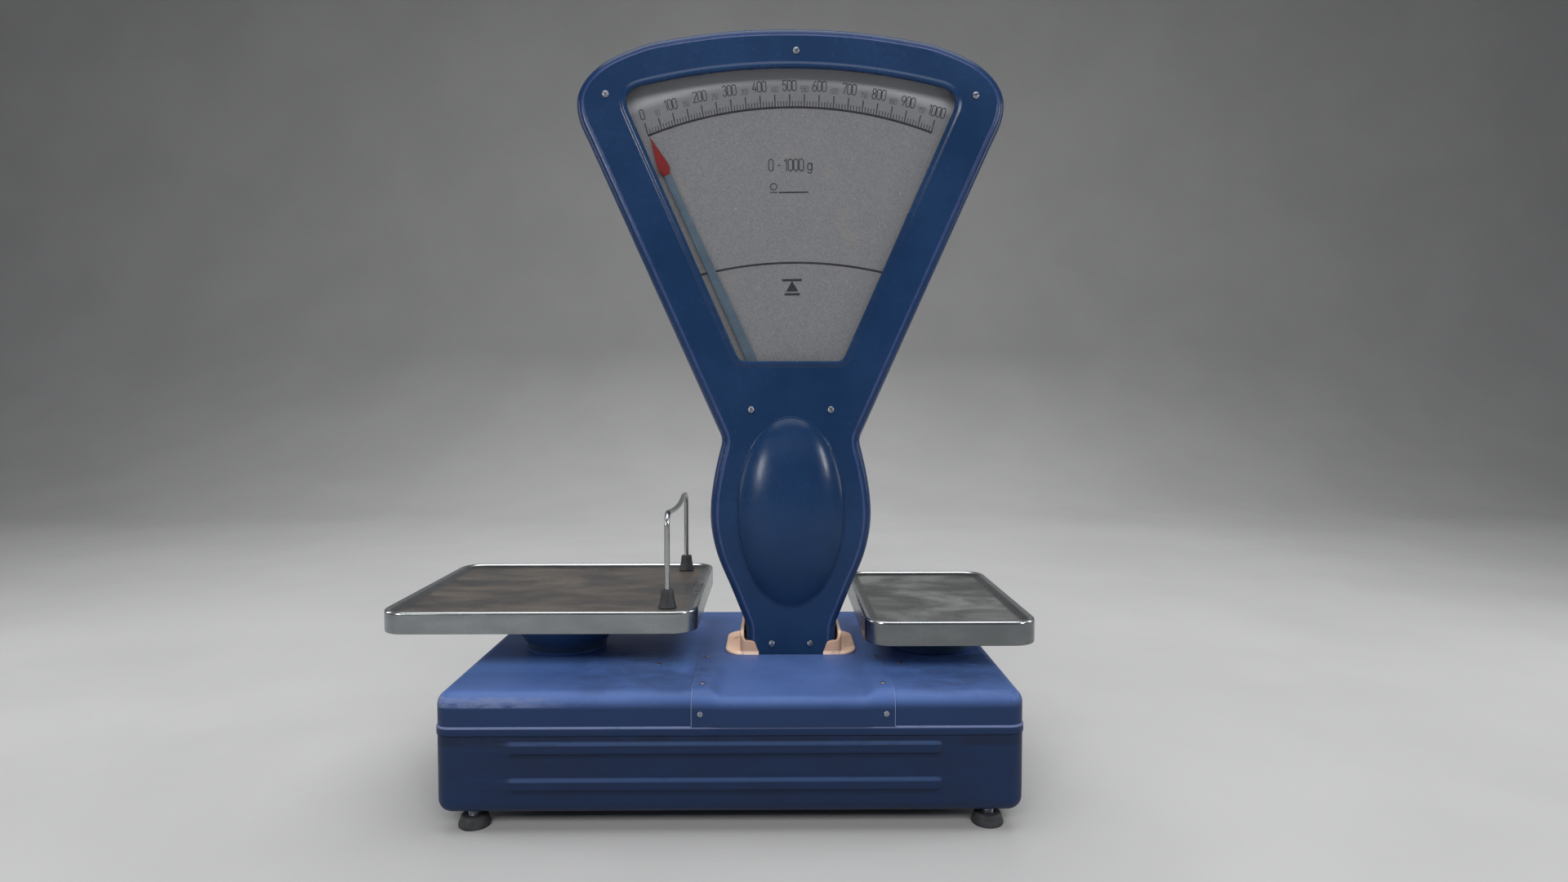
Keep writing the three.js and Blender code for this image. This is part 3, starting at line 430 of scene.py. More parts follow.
def combine(piece, tool, operation="DIFFERENCE"):
    modifier = piece.modifiers.new("combine", "BOOLEAN")
    modifier.operation, modifier.object, modifier.solver = operation, tool, "EXACT"
    bake(piece)
    bpy.data.objects.remove(tool)
    return piece


def bevel(piece, width, segments=2, angle=30):
    modifier = piece.modifiers.new("bevel", "BEVEL")
    modifier.width, modifier.segments = width, segments
    modifier.limit_method, modifier.angle_limit = "ANGLE", radians(angle)
    return bake(piece)


def rounded(half_x, half_y, radius, x=0.0, y=0.0, arc=6, along_x=(), along_y=()):
    """Rounded rectangle, counter-clockwise, with stations along its straight sides."""
    dx, dy = half_x - radius, half_y - radius
    points = []
    for turn, (sx, sy) in enumerate(((1, 1), (-1, 1), (-1, -1), (1, -1))):
        for k in range(arc + 1):
            a = (turn + k / arc) * pi / 2
            points.append((x + sx * dx + radius * cos(a), y + sy * dy + radius * sin(a)))
        if turn % 2 == 0:
            points += [(x + u, y + sy * half_y) for u in sorted(along_x, reverse=turn == 0)]
        else:
            points += [(x + sx * half_x, y + v) for v in sorted(along_y, reverse=turn == 1)]
    return points


def settle(piece, body, slot, paint, *nodes, angle=34):
    """Puts a piece drawn in millimetres in the part's frame, shades it and rides it on a body."""
    mesh = piece.data
    mesh.transform(Matrix.Translation(ORIGIN) @ Matrix.Scale(MM, 4))
    mesh.shade_smooth()
    mesh.set_sharp_from_angle(angle=radians(angle))
    weigh = piece.modifiers.new("normals", "WEIGHTED_NORMAL")
    weigh.keep_sharp = True
    mesh.materials.clear()
    mesh.materials.append(PAINT[paint])
    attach(piece, body)
    if nodes:
        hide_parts(*nodes)
    return piece


def smooth01(value, low, high):
    t = min(1.0, max(0.0, (value - low) / (high - low)))
    return t * t * (3 - 2 * t)


def quarter(steps):
    return [pi / 2 * k / steps for k in range(steps + 1)]


# ------------------------------------------------------------------ box base
def base_ring(z, inset, ribbed=False):
    """Outline of the base at a height; a ribbed one bulges where the pressed ribs are."""
    # close together where the ribs end
    stations = [s * u for s in (-1, 1) for u in (
        *(164 + 1.7 * k for k in range(11)), 40, 80, 120, 150, 200)] + [0]
    face, result = HALF_Y - inset, []
    for x, y in rounded(HALF_X - inset, face, max(CORNER - inset, 0.4), MID_X, 0, 8, stations,
                        (-90, -45, 0, 45, 90)):
        if ribbed and abs(abs(y) - face) < 1e-6:
            beyond = max(0.0, abs(x - RIB_X) - RIB_REACH)
            away = min(hypot(beyond, z - height) for height in RIB_HEIGHTS) / RIB_HALF
            y += copysign(RIB_PROUD * (1 - smooth01(away, 0.5, 1.0)), y)
        result.append((x, y, z))
    return result


def round_edge(z, inset, curve, steps, up=-1):
    """Rings round an edge of the base, from the flat to the wall, about a centre; up is 1 for a top edge."""
    return [base_ring(z + up * curve * cos(a), inset - curve * sin(a)) for a in quarter(steps)]


def make_tray():
    walls = sorted([*(height + 0.9 * k for height in RIB_HEIGHTS for k in range(-8, 9)), 32.5, 58.8])
    top, curve, lining = SPLIT - 0.3, FILLET - 3, SKIN + SHEET
    rings = round_edge(BOTTOM + FILLET, SKIN + FILLET, FILLET, 7)
    rings += [base_ring(z, SKIN, True) for z in walls] + [base_ring(top, SKIN), base_ring(top, lining)]
    rings += [base_ring(z, lining, True) for z in reversed(walls)]
    rings += round_edge(BOTTOM + SHEET + curve, lining + curve, curve, 5)[::-1]
    tray = loft("base_tray_shell", rings)
    for x, y in FEET:
        combine(tray, lathe("cutter", [(5.7, 5), (5.7, 40)], 32, x, y))
    settle(tray, "base", "base_paint", "base", "base_tray")


def make_cover():
    wall, curve = 1.05, FILLET - 3
    lining = wall + SHEET
    rings = round_edge(TOP - SHEET - curve, lining + curve, curve, 4, 1)
    # the lip stands proud of the wall, between the split and LIP_TOP
    rings += [base_ring(z, inset) for z, inset in (
        (SPLIT, lining), (SPLIT, 0.9), (SPLIT + 0.3, 0.3), (SPLIT + 0.9, 0.0), (LIP_TOP - 1.2, 0.0),
        (LIP_TOP - 0.45, 0.18), (LIP_TOP, 0.75), (LIP_TOP + 0.15, wall))]
    rings += round_edge(TOP - FILLET, wall + FILLET, FILLET, 9, 1)[::-1]
    cover = loft("base_cover_shell", rings)
    # openings for the stems, for the works' rod and under the bent plate
    for x, *_ in PANS.values():
        combine(cover, lathe("cutter", [(14, 100), (14, 130)], 40, x, 0))
    combine(cover, block(-6, 28, -9, 9, 100, 140))
    combine(cover, block(-70.6, 70.6, -170, -50, 101, 140))
    settle(cover, "base", "base_paint", "base", "base_cover")


PLATE_FLAT, PLATE_BEND = 0.55, 0.75


def plate_point(x, step):
    """Outer surface of the bent plate: step 0 at its back edge, 1 at its foot."""
    back, foot, top = -39.5, LIP_TOP + 0.35, TOP + 1.5
    ends = []
    for front, radius, droop in ((-147.7, 12.5, 0.0), (-148.95, 9.5, 5.2)):
        low = top - droop - radius
        if step <= PLATE_FLAT:
            y = back + (front + radius - back) * step / PLATE_FLAT
            z = top - droop * smooth01(-y, 50, 132)
        elif step <= PLATE_BEND:
            a = (step - PLATE_FLAT) / (PLATE_BEND - PLATE_FLAT) * pi / 2
            y, z = front + radius * (1 - sin(a)), low + radius * cos(a)
        else:
            y, z = front, low + (foot - low) * (step - PLATE_BEND) / (1 - PLATE_BEND)
        ends.append(Vector((x, y, z)))
    return ends[0].lerp(ends[1], 1 - smooth01(abs(x), 57, 71))


def make_plate():
    half = [*(55.5 + 1.5 * k for k in range(12)), 76, 80, 84]
    across = [-x for x in reversed(half)] + list(range(-50, 51, 10)) + half
    down = [PLATE_FLAT * k / 16 for k in range(17)]
    down += [PLATE_FLAT + (PLATE_BEND - PLATE_FLAT) * k / 12 for k in range(1, 13)]
    down += [PLATE_BEND + (1 - PLATE_BEND) * k / 5 for k in range(1, 6)]
    thick = 1.2
    outer, inner = [], []
    for x in across:
        for s in down:
            here = plate_point(x, s)
            along = plate_point(x, min(1, s + 0.004)) - plate_point(x, max(0, s - 0.004))
            sideways = plate_point(x + 0.2, s) - plate_point(x - 0.2, s)
            normal = along.cross(sideways).normalized()
            if normal.z - normal.y < 0:
                normal.negate()
            outer.append(here)
            inner.append(here - normal * thick)
    rows, size = len(across), len(down)
    shift = rows * size
    faces = []
    for i in range(rows - 1):
        for a in range(i * size, (i + 1) * size - 1):
            b, c, d = a + size, a + size + 1, a + 1
            faces += [(a, b, c, d), (a + shift, d + shift, c + shift, b + shift)]
    rim = [i * size for i in range(rows)] + [(rows - 1) * size + j for j in range(1, size)]
    rim += [i * size + size - 1 for i in range(rows - 2, -1, -1)] + list(range(size - 2, 0, -1))
    faces += [(a, b, b + shift, a + shift) for a, b in zip(rim, rim[1:] + rim[:1])]
    plate = mesh_object("front_cover_plate", outer + inner, faces)
    bevel(plate, 0.35, 2, 50)
    settle(plate, "base", "base_paint", "base", "front_plate")


# ------------------------------------------------------------------ screws
def screw_mesh(name, head, height, shank, length):
    """A domed slotted screw that points down from the origin."""
    dome = [(head * cos(a) ** 0.8 if a < 1.5 else 0.05, height * sin(a)) for a in quarter(8)]
    profile = [(0.05, -length), (shank * 0.6, -length), (shank, -length + 1), (shank, 0), (head * 0.94, 0),
               (head, height * 0.10), *[(min(head, r), max(height * 0.12, z)) for r, z in dome[1:]]]
    screw = lathe(name, profile, 32)
    combine(screw, block(-head * 0.13, head * 0.13, -head * 1.2, head * 1.2, height * 0.52, height * 2))
    return screw


def place_screws(prefix, sizes, spots):
    """Spots: (node, x, y, z, facing, turn in degrees), where facing is up or front."""
    pattern = screw_mesh("screw_pattern", *sizes)
    for node, x, y, z, facing, turn in spots:
        screw = add(f"{prefix}_{node}", pattern.data.copy())
        matrix = Matrix.Rotation(radians(turn), 4, "Z")
        if facing == "front":
            matrix = Matrix.Rotation(pi / 2, 4, "X") @ matrix
        screw.data.transform(Matrix.Translation((x, y, z)) @ matrix)
        settle(screw, "base", "screw_steel", "screw", node, angle=50)
    bpy.data.objects.remove(pattern)


# ------------------------------------------------------------------ levelling feet
def make_feet():
    pad = [(0.05, 0.0), (12.0, 0.0), (12.9, 0.3), (13.4, 1.1), (13.4, 2.6), (13.2, 3.3), (12.6, 5.0),
           (11.9, 7.0), (11.3, 8.6), (10.9, 9.4), (10.3, 9.85), (9.4, 10.0), (5.5, 10.0), (5.5, 4.9), (0.05, 4.9)]
    for i, (x, y) in enumerate(FEET, 1):
        settle(lathe(f"foot_{i}_pad", pad, 48, x, y), f"foot_{i}", "rubber", "rubber", f"foot_pad_{i}")
        low, high, pitch, core, thread, sides = 5.3, 32.4, 1.5, 4.35, 0.75, 30
        rows = int((high - low) / 0.3)
        rings = []
        for k in range(rows + 1):
            z = low + (high - low) * k / rows
            taper = min(1.0, (z - low) / 1.2, (high - z) / 1.2)
            ring = []
            for s in range(sides):
                turn = s / sides
                phase = (z / pitch - turn) % 1.0
                radius = core + thread * (1 - abs(2 * phase - 1)) * max(0.0, taper)
                ring.append((x + radius * cos(tau * turn), y + radius * sin(tau * turn), z))
            rings.append(ring)
        settle(loft(f"foot_{i}_stud", rings), f"foot_{i}", "screw_steel", "screw", f"foot_stud_{i}", angle=80)


# ------------------------------------------------------------------ dial head
BULGE = [(55.8, 180.3), (69, 212), (75.2, 240), (75.2, 265), (71, 293), (64, 322)]
SHOULDER = [(186, 595), (195.3, 616), (197.5, 635), (191.8, 650), (181, 662.3), (167, 672.3), (145, 681.7),
            (121, 688.7), (60, 697.5)]
SHELL_FACE = 37.3


def spline(points, steps):
    """Uniform Catmull-Rom line through the points."""
    line, last = [], len(points) - 1
    for i in range(last):
        p0, p1 = points[max(i - 1, 0)], points[i]
        p2, p3 = points[i + 1], points[min(i + 2, last)]
        for k in range(steps):
            t = k / steps
            line.append(tuple(
                b + 0.5 * t * ((c - a) + t * ((2 * a - 5 * b + 4 * c - d) + t * (3 * b - a - 3 * c + d)))
                for a, b, c, d in zip(p0, p1, p2, p3)))
    return line + [tuple(points[-1])]


def resample(points, spacing):
    """Even steps round a closed line."""
    loop = points + [points[0]]
    gaps = [dist(a, b) for a, b in zip(loop, loop[1:])]
    total = sum(gaps)
    count = round(total / spacing)
    result, i, done = [], 0, 0.0
    for k in range(count):
        target = total * k / count
        while done + gaps[i] < target:
            done += gaps[i]
            i += 1
        t = (target - done) / gaps[i] if gaps[i] else 0
        (ax, ay), (bx, by) = loop[i], loop[i + 1]
        result.append((ax + (bx - ax) * t, ay + (by - ay) * t))
    return result


def neighbours(loop):
    """Each point of a closed line, between the ones before and after it."""
    return zip(loop[-1:] + loop[:-1], loop, loop[1:] + loop[:1])


def soften(points, rounds):
    for _ in range(rounds):
        points = [((a[0] + 2 * b[0] + c[0]) / 4, (a[1] + 2 * b[1] + c[1]) / 4) for a, b, c in neighbours(points)]
    return points


def offset(points, distance):
    """Moves a counter-clockwise loop outwards by distance."""
    result = []
    for a, b, c in neighbours(points):
        dx, dy = c[0] - a[0], c[1] - a[1]
        size = hypot(dx, dy)
        result.append((b[0] + dy / size * distance, b[1] - dx / size * distance))
    return result


def mirrored(points):
    return [(-x, z) for x, z in reversed(points)]


def head_outline():
    foot = [(22 + 20 * sin(a), 99 - 20 * cos(a)) for a in quarter(8)]
    half = foot + spline([(42, 146), *BULGE], 10)
    crown = spline([*SHOULDER, (0, 700), *mirrored(SHOULDER)], 10)
    return soften(resample(half + crown + mirrored(half), 2.6), 3)


def fan_outline(corner_top=20.0, corner_bottom=6.0):
    """The window opening, counter-clockwise."""
    bottom, half, top, radius, tilt = 395.3, 48.2, 662.2, 575.0, radians(23.8)
    centre = top - radius
    along = (sin(tilt), cos(tilt))
    start = (half, bottom - centre)
    dot = start[0] * along[0] + start[1] * along[1]
    reach = sqrt(dot ** 2 - start[0] ** 2 - start[1] ** 2 + radius ** 2) - dot
    corner = (half + along[0] * reach, bottom + along[1] * reach)
    angle = atan2(corner[1] - centre, corner[0]) + corner_top / radius

    def curve(a, b, c):
        return [tuple((1 - t) ** 2 * p + 2 * t * (1 - t) * q + t * t * r for p, q, r in zip(a, b, c))
                for t in (k / 10 for k in range(11))]
    low = (half + along[0] * corner_bottom, bottom + along[1] * corner_bottom)
    high = (corner[0] - along[0] * corner_top, corner[1] - along[1] * corner_top)
    arc_start = (radius * cos(angle), centre + radius * sin(angle))
    right = curve((half - corner_bottom, bottom), (half, bottom), low) + curve(high, corner, arc_start)
    sweep = [(radius * sin(s), centre + radius * cos(s))
             for s in ((pi / 2 - angle) * (1 - 2 * k / 60) for k in range(1, 60))]
    return resample(right + sweep + mirrored(right), 2.6)


def ellipse_ring(half_x, half_z, y, middle_z):
    return [(half_x * cos(a), y, middle_z + half_z * sin(a)) for a in full_turn(72)]


def make_housing(side, place):
    """One pressed half of the casing; its profiles are (distance out from a loop, depth)."""
    outline, window = head_outline(), fan_outline()
    rolled = 7.2
    shell = [(-2.5, 0.15), (-0.4, 0.15), (0.0, 0.5), (0.0, 26.0)]
    shell += [(-rolled * (1 - cos(a)), 26 + 10.2 * sin(a)) for a in quarter(8)[1:]]
    shell += [(-7.7, 36.22), (-8.3, 36.75), (-8.9, 37.0)]
    frame_edge = [(7.0, 37.0), (6.0, 37.18), (5.0, 37.6), (4.0, 38.1), (3.0, 38.45), (2.0, 38.55),
                  (1.2, 38.4), (0.6, 38.0), (0.2, 37.3), (0.0, 36.4), (0.0, 35.2), (0.2, 34.5), (7.0, 34.5)]
    lining = [(-9.6, 34.5), (-6.4, 34.0), (-3.8, 32.0), (-2.6, 28.0), (-2.5, 24.0)]
    bm = bmesh.new()

    def join(a, b):
        for j in range(len(a)):
            k = (j + 1) % len(a)
            bm.faces.new((a[j], a[k], b[k], b[j]))

    def rings(loop, profile):
        made = []
        for distance, y in profile:
            points = offset(loop, distance) if distance else loop
            made.append([bm.verts.new((x, side * y, z)) for x, z in points])
        for a, b in zip(made, made[1:]):
            join(a, b)
        return made

    def fill(outer, inner):
        edges = []
        for loop in (outer, inner):
            for a, b in zip(loop, loop[1:] + loop[:1]):
                edges.append(bm.edges.get((a, b)) or bm.edges.new((a, b)))
        bmesh.ops.triangle_fill(bm, use_beauty=True, use_dissolve=False, edges=edges, normal=(0, side, 0))

    outside = rings(outline, shell)
    inside = rings(outline, lining)
    opening = rings(window, frame_edge)
    join(inside[-1], outside[0])
    fill(outside[-1], opening[0])
    fill(inside[0], opening[-1])
    bmesh.ops.recalc_face_normals(bm, faces=bm.faces)
    mesh = bpy.data.meshes.new(place)
    bm.to_mesh(mesh)
    bm.free()
    housing = add(f"{place}_casing", mesh)
    middle, wide, tall, deep, centre = 254.0, 54.0, 94.8, 29.0, 27.0
    foot, start = sqrt(1 - (10 / deep) ** 2), asin(8.2 / deep)
    step = loft("cutter", [ellipse_ring(wide * foot + grow, tall * foot + grow, side * y, middle)
                           for grow, y in ((0.9, 35.2), (0.9, 37.0), (0.75, 37.35), (0.3, 37.6), (-0.8, 37.7))])
    combine(housing, step, "UNION")
    dome = []
    for k in range(17):
        lift = start + (pi / 2 - start) * (k / 16) * 0.985
        dome.append(ellipse_ring(wide * cos(lift), tall * cos(lift), side * (centre + deep * sin(lift)), middle))
    combine(housing, loft("cutter", dome), "UNION")
    combine(housing, block(-90, 90, -60, 60, 60, SEAT))
    face_out(housing)
    settle(housing, "base", "head_paint", "head", f"{place}_housing", angle=40)


# ------------------------------------------------------------------ dial print
def stroke(path, width, closed=False):
    """A flat ribbon along a line: its two edges, as lists of points."""
    left, right = [], []
    last = len(path) - 1
    for i, (x, y) in enumerate(path):
        a = path[i - 1] if closed or i else (x, y)
        b = path[(i + 1) % len(path)] if closed or i < last else (x, y)
        before, after = Vector((x - a[0], y - a[1])), Vector((b[0] - x, b[1] - y))
        before = (before if before.length > 1e-9 else after).normalized()
        after = (after if after.length > 1e-9 else before).normalized()
        square = Vector((-before.y, before.x))
        normal = Vector((-before.y - after.y, before.x + after.x))
        normal = (normal if normal.length > 1e-6 else square).normalized()
        reach = width / 2 / max(0.45, normal.dot(square))
        left.append((x + normal.x * reach, y + normal.y * reach))
        right.append((x - normal.x * reach, y - normal.y * reach))
    return left, right


def askew(point):
    """The print sits slightly turned on its plate."""
    x, z = point[0], point[1] - DIAL_MIDDLE
    return (x * cos(ASKEW) - z * sin(ASKEW), DIAL_MIDDLE + x * sin(ASKEW) + z * cos(ASKEW))


class Print:
    """Thin raised ink, drawn as closed strips in the plane of the dial."""

    def __init__(self, side):
        self.side = side
        self.vertices, self.faces = [], []

    def strip(self, path, width, closed=False):
        left, right = stroke(path, width, closed)
        start, count = len(self.vertices), len(path)
        for a, b in zip(map(askew, left), map(askew, right)):
            for y in INK_DEPTHS:
                self.vertices += [(a[0], self.side * y, a[1]), (b[0], self.side * y, b[1])]
        for i in range(count if closed else count - 1):
            a, b = start + 4 * i, start + 4 * ((i + 1) % count)
            self.faces += [(a + 2, a + 3, b + 3, b + 2), (a, b, b + 1, a + 1),
                           (a, a + 2, b + 2, b), (a + 1, b + 1, b + 3, a + 3)]
        if not closed:
            a, b = start, start + 4 * (count - 1)
            self.faces += [(a, a + 1, a + 3, a + 2), (b, b + 2, b + 3, b + 1)]

    def glyphs(self, text, centre, height, tilt, width):
        """Writes text about a centre; tilt is clockwise as the dial is read."""
        pitch, flip = 0.47 * height, -self.side
        right = (flip * cos(tilt), -flip * sin(tilt))
        up = (sin(tilt), cos(tilt))
        total = sum(ADVANCE.get(c, 1.0) for c in text) * pitch - 0.07 * height
        cursor = -total / 2
        for letter in text:
            for path, closed in GLYPHS[letter]:
                points = []
                for u, v in path:
                    a, b = cursor + u * height, (v - 0.5) * height
                    points.append(tuple(c + r * a + t * b for c, r, t in zip(centre, right, up)))
                self.strip(points, width, closed)
            cursor += ADVANCE.get(letter, 1.0) * pitch

    def settle(self, name, paint):
        piece = mesh_object(name, self.vertices, self.faces)
        settle(piece, "base", "dial_paint", paint, angle=30)


def arc_points(x, y, rx, ry, start, end, steps=7):
    return [(x + rx * cos(radians(start + (end - start) * k / steps)),
             y + ry * sin(radians(start + (end - start) * k / steps))) for k in range(steps + 1)]


W = 0.38  # width of a digit that is 1 high


def bow(middle, radius, start, end, steps=7):
    """Part of a digit's round stroke, as wide as the digit."""
    return arc_points(W / 2, middle, W / 2, radius, start, end, steps)


# each glyph: strokes in a box 0.38 wide and 1 high, and whether each is closed
GLYPHS = {
    "0": [(bow(W / 2, W / 2, 180, 360) + bow(1 - W / 2, W / 2, 0, 180), True)],
    "1": [([(0.03, 0.80), (0.20, 1.0), (0.20, 0.0)], False)],
    "2": [(bow(1 - W / 2, W / 2, 170, -20) + [(0.0, 0.0), (W, 0.0)], False)],
    "3": [(bow(0.78, 0.22, 165, -75) + bow(0.27, 0.27, 75, -165), False)],
    "4": [([(0.24, 1.0), (0.0, 0.30), (W, 0.30)], False), ([(0.29, 0.55), (0.29, 0.0)], False)],
    "5": [([(W - 0.02, 1.0), (0.05, 1.0), (0.03, 0.55)] + bow(0.31, 0.31, 110, -165, 9), False)],
    "6": [([(0.27, 1.0), (0.12, 0.72)] + bow(0.28, 0.28, 160, 500, 14), False)],
    "7": [([(0.0, 0.90), (0.0, 1.0), (W, 1.0), (0.12, 0.0)], False)],
    "8": [(arc_points(W / 2, 0.77, W / 2 - 0.02, 0.23, -90, 270, 12)[:-1], True),
          (bow(0.27, 0.27, -90, 270, 12)[:-1], True)],
    "9": [([(0.11, 0.0), (0.26, 0.28)] + bow(0.72, 0.28, -20, 320, 14), False)],
    "-": [([(0.03, 0.48), (0.27, 0.48)], False)],
    " ": [],
    "g": [(bow(0.34, 0.30, 0, 360, 12)[:-1], True), ([(W, 0.66), (W, 0.0)] + bow(0.0, 0.22, 0, -160, 6), False)],
}
ADVANCE = {"1": 0.75, "-": 0.72, " ": 0.55}
NUMBER_OUT, MINOR_OUT = 20.0, 16.7
ASKEW, DIAL_MIDDLE = radians(0.8), 560.0
INK_DEPTHS = (22.03, 22.15)


def on_dial(turn, out=0.0):
    """A point out from the scale's line; the marks lean a little less than the radius does."""
    lean = 0.73 * turn
    return (SCALE_RADIUS * sin(turn) + out * sin(lean),
            SCALE_Z + SCALE_RADIUS * cos(turn) + out * cos(lean))


def make_print(side, place):
    line, grey, faint = Print(side), Print(side), Print(side)
    line.strip([on_dial(SCALE_HALF * (k / 45 - 1) * 1.003) for k in range(91)], 1.95)
    line.strip(INNER_LINE, 1.9)
    for k in range(101):
        turn = SCALE_HALF * (k / 50 - 1)
        out, width = (12.0, 1.15) if k % 5 == 0 else (5.8, 0.85)
        grey.strip([on_dial(turn, 0.5), on_dial(turn, out)], width)
    for k in range(0, 1001, 50):
        turn = SCALE_HALF * (k / 500 - 1)
        if k % 100 == 0:
            grey.glyphs(str(k), on_dial(turn, NUMBER_OUT), 9.5, 0.73 * turn, 0.85)
        else:
            faint.glyphs(str(k), on_dial(turn, MINOR_OUT), 4.9, 0.73 * turn, 0.62)
    # the weighing range, with a ring mark and a rule under it
    grey.glyphs("0 - 1000 g", (0, 578.5), 10.8, 0.0, 1.05)
    line.strip([(-11.4, 553.2), (16.4, 553.2)], 1.25)
    grey.strip(arc_points(-16, 558.6, 3.0, 3.0, 0, 360, 16)[:-1], 1.0, True)
    grey.strip([(-19.5, 553.4), (-12.8, 553.4)], 1.0)
    # a plain balance sign: a beam on a wedge over a foot
    line.strip([(-9.2, 471.6), (9.2, 471.6)], 2.2)
    for k in range(12):
        half = 0.5 + 0.45 * k
        line.strip([(-half, 470.1 - 0.8 * k), (half, 470.1 - 0.8 * k)], 0.84)
    line.strip([(-7.2, 458.4), (7.2, 458.4)], 2.4)
    line.settle(f"{place}_dial_lines", "ink")
    grey.settle(f"{place}_dial_scale", "grey_ink")
    faint.settle(f"{place}_dial_minor_numbers", "faint_ink")


INNER_LINE = [(86 * (k / 30 - 1), 487.8 - 10.3 * (k / 30 - 1) ** 2) for k in range(61)]


# ------------------------------------------------------------------ pointers
def make_pointer(side, place):
    lean, rest, red_from = -2.2, radians(-25), 0.2715
    # distance from the axis, and half the width there
    outline = [(-28, 4.0), (-27, 4.4), (0, 5.0), (80, 4.7), (150, 4.2), (220, 3.6), (271, 3.3),
               (272.5, 3.2), (275, 4.5), (278.5, 5.6), (281, 5.3), (290, 3.7), (300, 1.8), (306, 0.75), (310, 0.12)]
    rings = []
    for r, half in outline:
        shift = lean * smooth01(r, 0, 70) * (1 - min(1.0, r / 300))
        edge = min(0.3, half * 0.4)
        section = [(-half, 26.3), (-half + edge, 26.0), (half - edge, 26.0), (half, 26.3),
                   (half, 27.2), (half - edge, 27.5), (-half + edge, 27.5), (-half, 27.2)]
        rings.append([(u + shift, side * y, r) for u, y in section])
    blade = loft(f"{place}_pointer_blade", rings)
    hub = [(3.3, 24.8), (8.2, 24.8), (9.0, 25.4), (9.0, 28.4), (8.2, 29.0), (3.3, 29.0)]
    combine(blade, turned_y(hub, side), "UNION")
    combine(blade, turned_y([(0.05, 20), (3.3, 20), (3.3, 34), (0.05, 34)], side))
    blade.data.transform(Matrix.Translation((0, 0, PIVOT)) @ Matrix.Rotation(rest, 4, "Y"))
    settle(blade, "pointer", "pointer_paint", "pointer", f"{place}_pointer", angle=40)
    blade.data.materials.append(PAINT["red"])
    pivot = ORIGIN + Vector((0, 0, PIVOT)) * MM
    for face in blade.data.polygons:
        away = face.center - pivot
        if hypot(away.x, away.z) > red_from:
            face.material_index = 1


def turned_y(profile, side):
    """Turns a profile of (radius, depth) about the pointer's axis; one that stays off the axis is a ring."""
    rings = [[(r * cos(a), side * y, r * sin(a)) for a in full_turn(40)] for r, y in profile]
    return loft("cutter", rings, profile[0][0] > 1)


# ------------------------------------------------------------------ collar round the foot of the head
def make_collar():
    collar = loft("head_collar", [
        [(x, y, SEAT + z) for x, y in rounded(62.4 - inset, 41.5 - inset, 20 - inset, 0, 3, 18)] for inset, z in
        ((0.8, 0.0), (0.2, 0.25), (0.0, 0.9), (0.05, 1.8), (0.45, 2.6), (1.2, 2.95), (2.4, 3.0))])
    hole = [[(x, y, z) for x, y in rounded(42.3, 37.3, 12.3, 0, 0, 12)] for z in (100, 160)]
    combine(collar, loft("cutter", hole))
    # the upstand is a wall swept round the foot; its top drops in an S to the two front wings
    path = resample(rounded(46.0, 38.4, 4.6, 0, 0, 14, (-30, -20, 0, 20, 30), (-20, -8, 0, 8, 20)), 1.3)
    start = min(range(len(path)), key=lambda i: dist(path[i], (30.3, -38.4)))
    path = path[start:] + path[:start]
    path = [p for p in path if not (p[1] < -30 and abs(p[0]) < 30.2)]
    travelled = [0.0]
    for a, b in zip(path, path[1:]):
        travelled.append(travelled[-1] + dist(a, b))
    total = travelled[-1]
    rings = []
    for i, (x, y) in enumerate(path):
        a, b = path[max(i - 1, 0)], path[min(i + 1, len(path) - 1)]
        size = dist(a, b)
        normal = ((b[1] - a[1]) / size, -(b[0] - a[0]) / size)
        s = min(travelled[i], total - travelled[i])
        height = 4.6 + 8.4 * smooth01(s, 0, 3.8) + 1.4 * smooth01(s, 3, 8) + 7.6 * smooth01(s, 11, 20.5)
        section = [(-1.7, 0.4), (1.7, 0.4), (1.7, height - 1.1), (1.4, height - 0.35), (0.7, height),
                   (-0.7, height), (-1.4, height - 0.35), (-1.7, height - 1.1)]
        rings.append([(x + normal[0] * u, y + normal[1] * u, SEAT + v) for u, v in section])
    combine(collar, loft("cutter", rings), "UNION")
    combine(collar, block(-30.2, 30.2, -60, -30, 100, 200))
    settle(collar, "base", "collar_plastic", "collar", "column_collar", angle=42)


# ------------------------------------------------------------------ pans and what carries them
def make_stem_collar(x, place):
    profile = [(r, SEAT + rise) for r, rise in (
        (33, 0), (37.3, 0), (37.7, 0.5), (37.7, 7.2), (37.3, 8.1), (36.5, 8.5), (33.6, 8.5), (33, 8.0))]
    settle(lathe(f"{place}_stem_collar", profile, 72, x, 0, True), "base", "base_paint", "base", f"{place}_collar")


def make_dish(x, top, skirt, place):
    web = top - 23
    profile = [(0.05, web), (35.6, web), (37.4, web - 0.9), (38.3, web - 3), (38.3, skirt + 0.5), (38.7, skirt),
               (39.6, skirt), (40.0, skirt + 0.6), (40.6, 129.4), (41.8, 131.6), (44.2, 134.6), (47.4, 137.8),
               (50.2, 141.6), (53.0, top - 17.5), (55.4, top - 13), (57.4, top - 8), (59.0, top - 2.5),
               (59.9, top - 0.6), (59.5, top), (57.4, top), (56.9, top - 0.6), (55.2, top - 7), (53.4, top - 12.2),
               (50.0, web + 5.6), (46.5, web + 4.2), (44, web + 4), (0.05, web + 4)]
    dish = lathe(f"{place}_bearing_dish", profile, 80, x, 0)
    settle(dish, f"{place}_carrier", "base_paint", "base", f"{place}_dish")


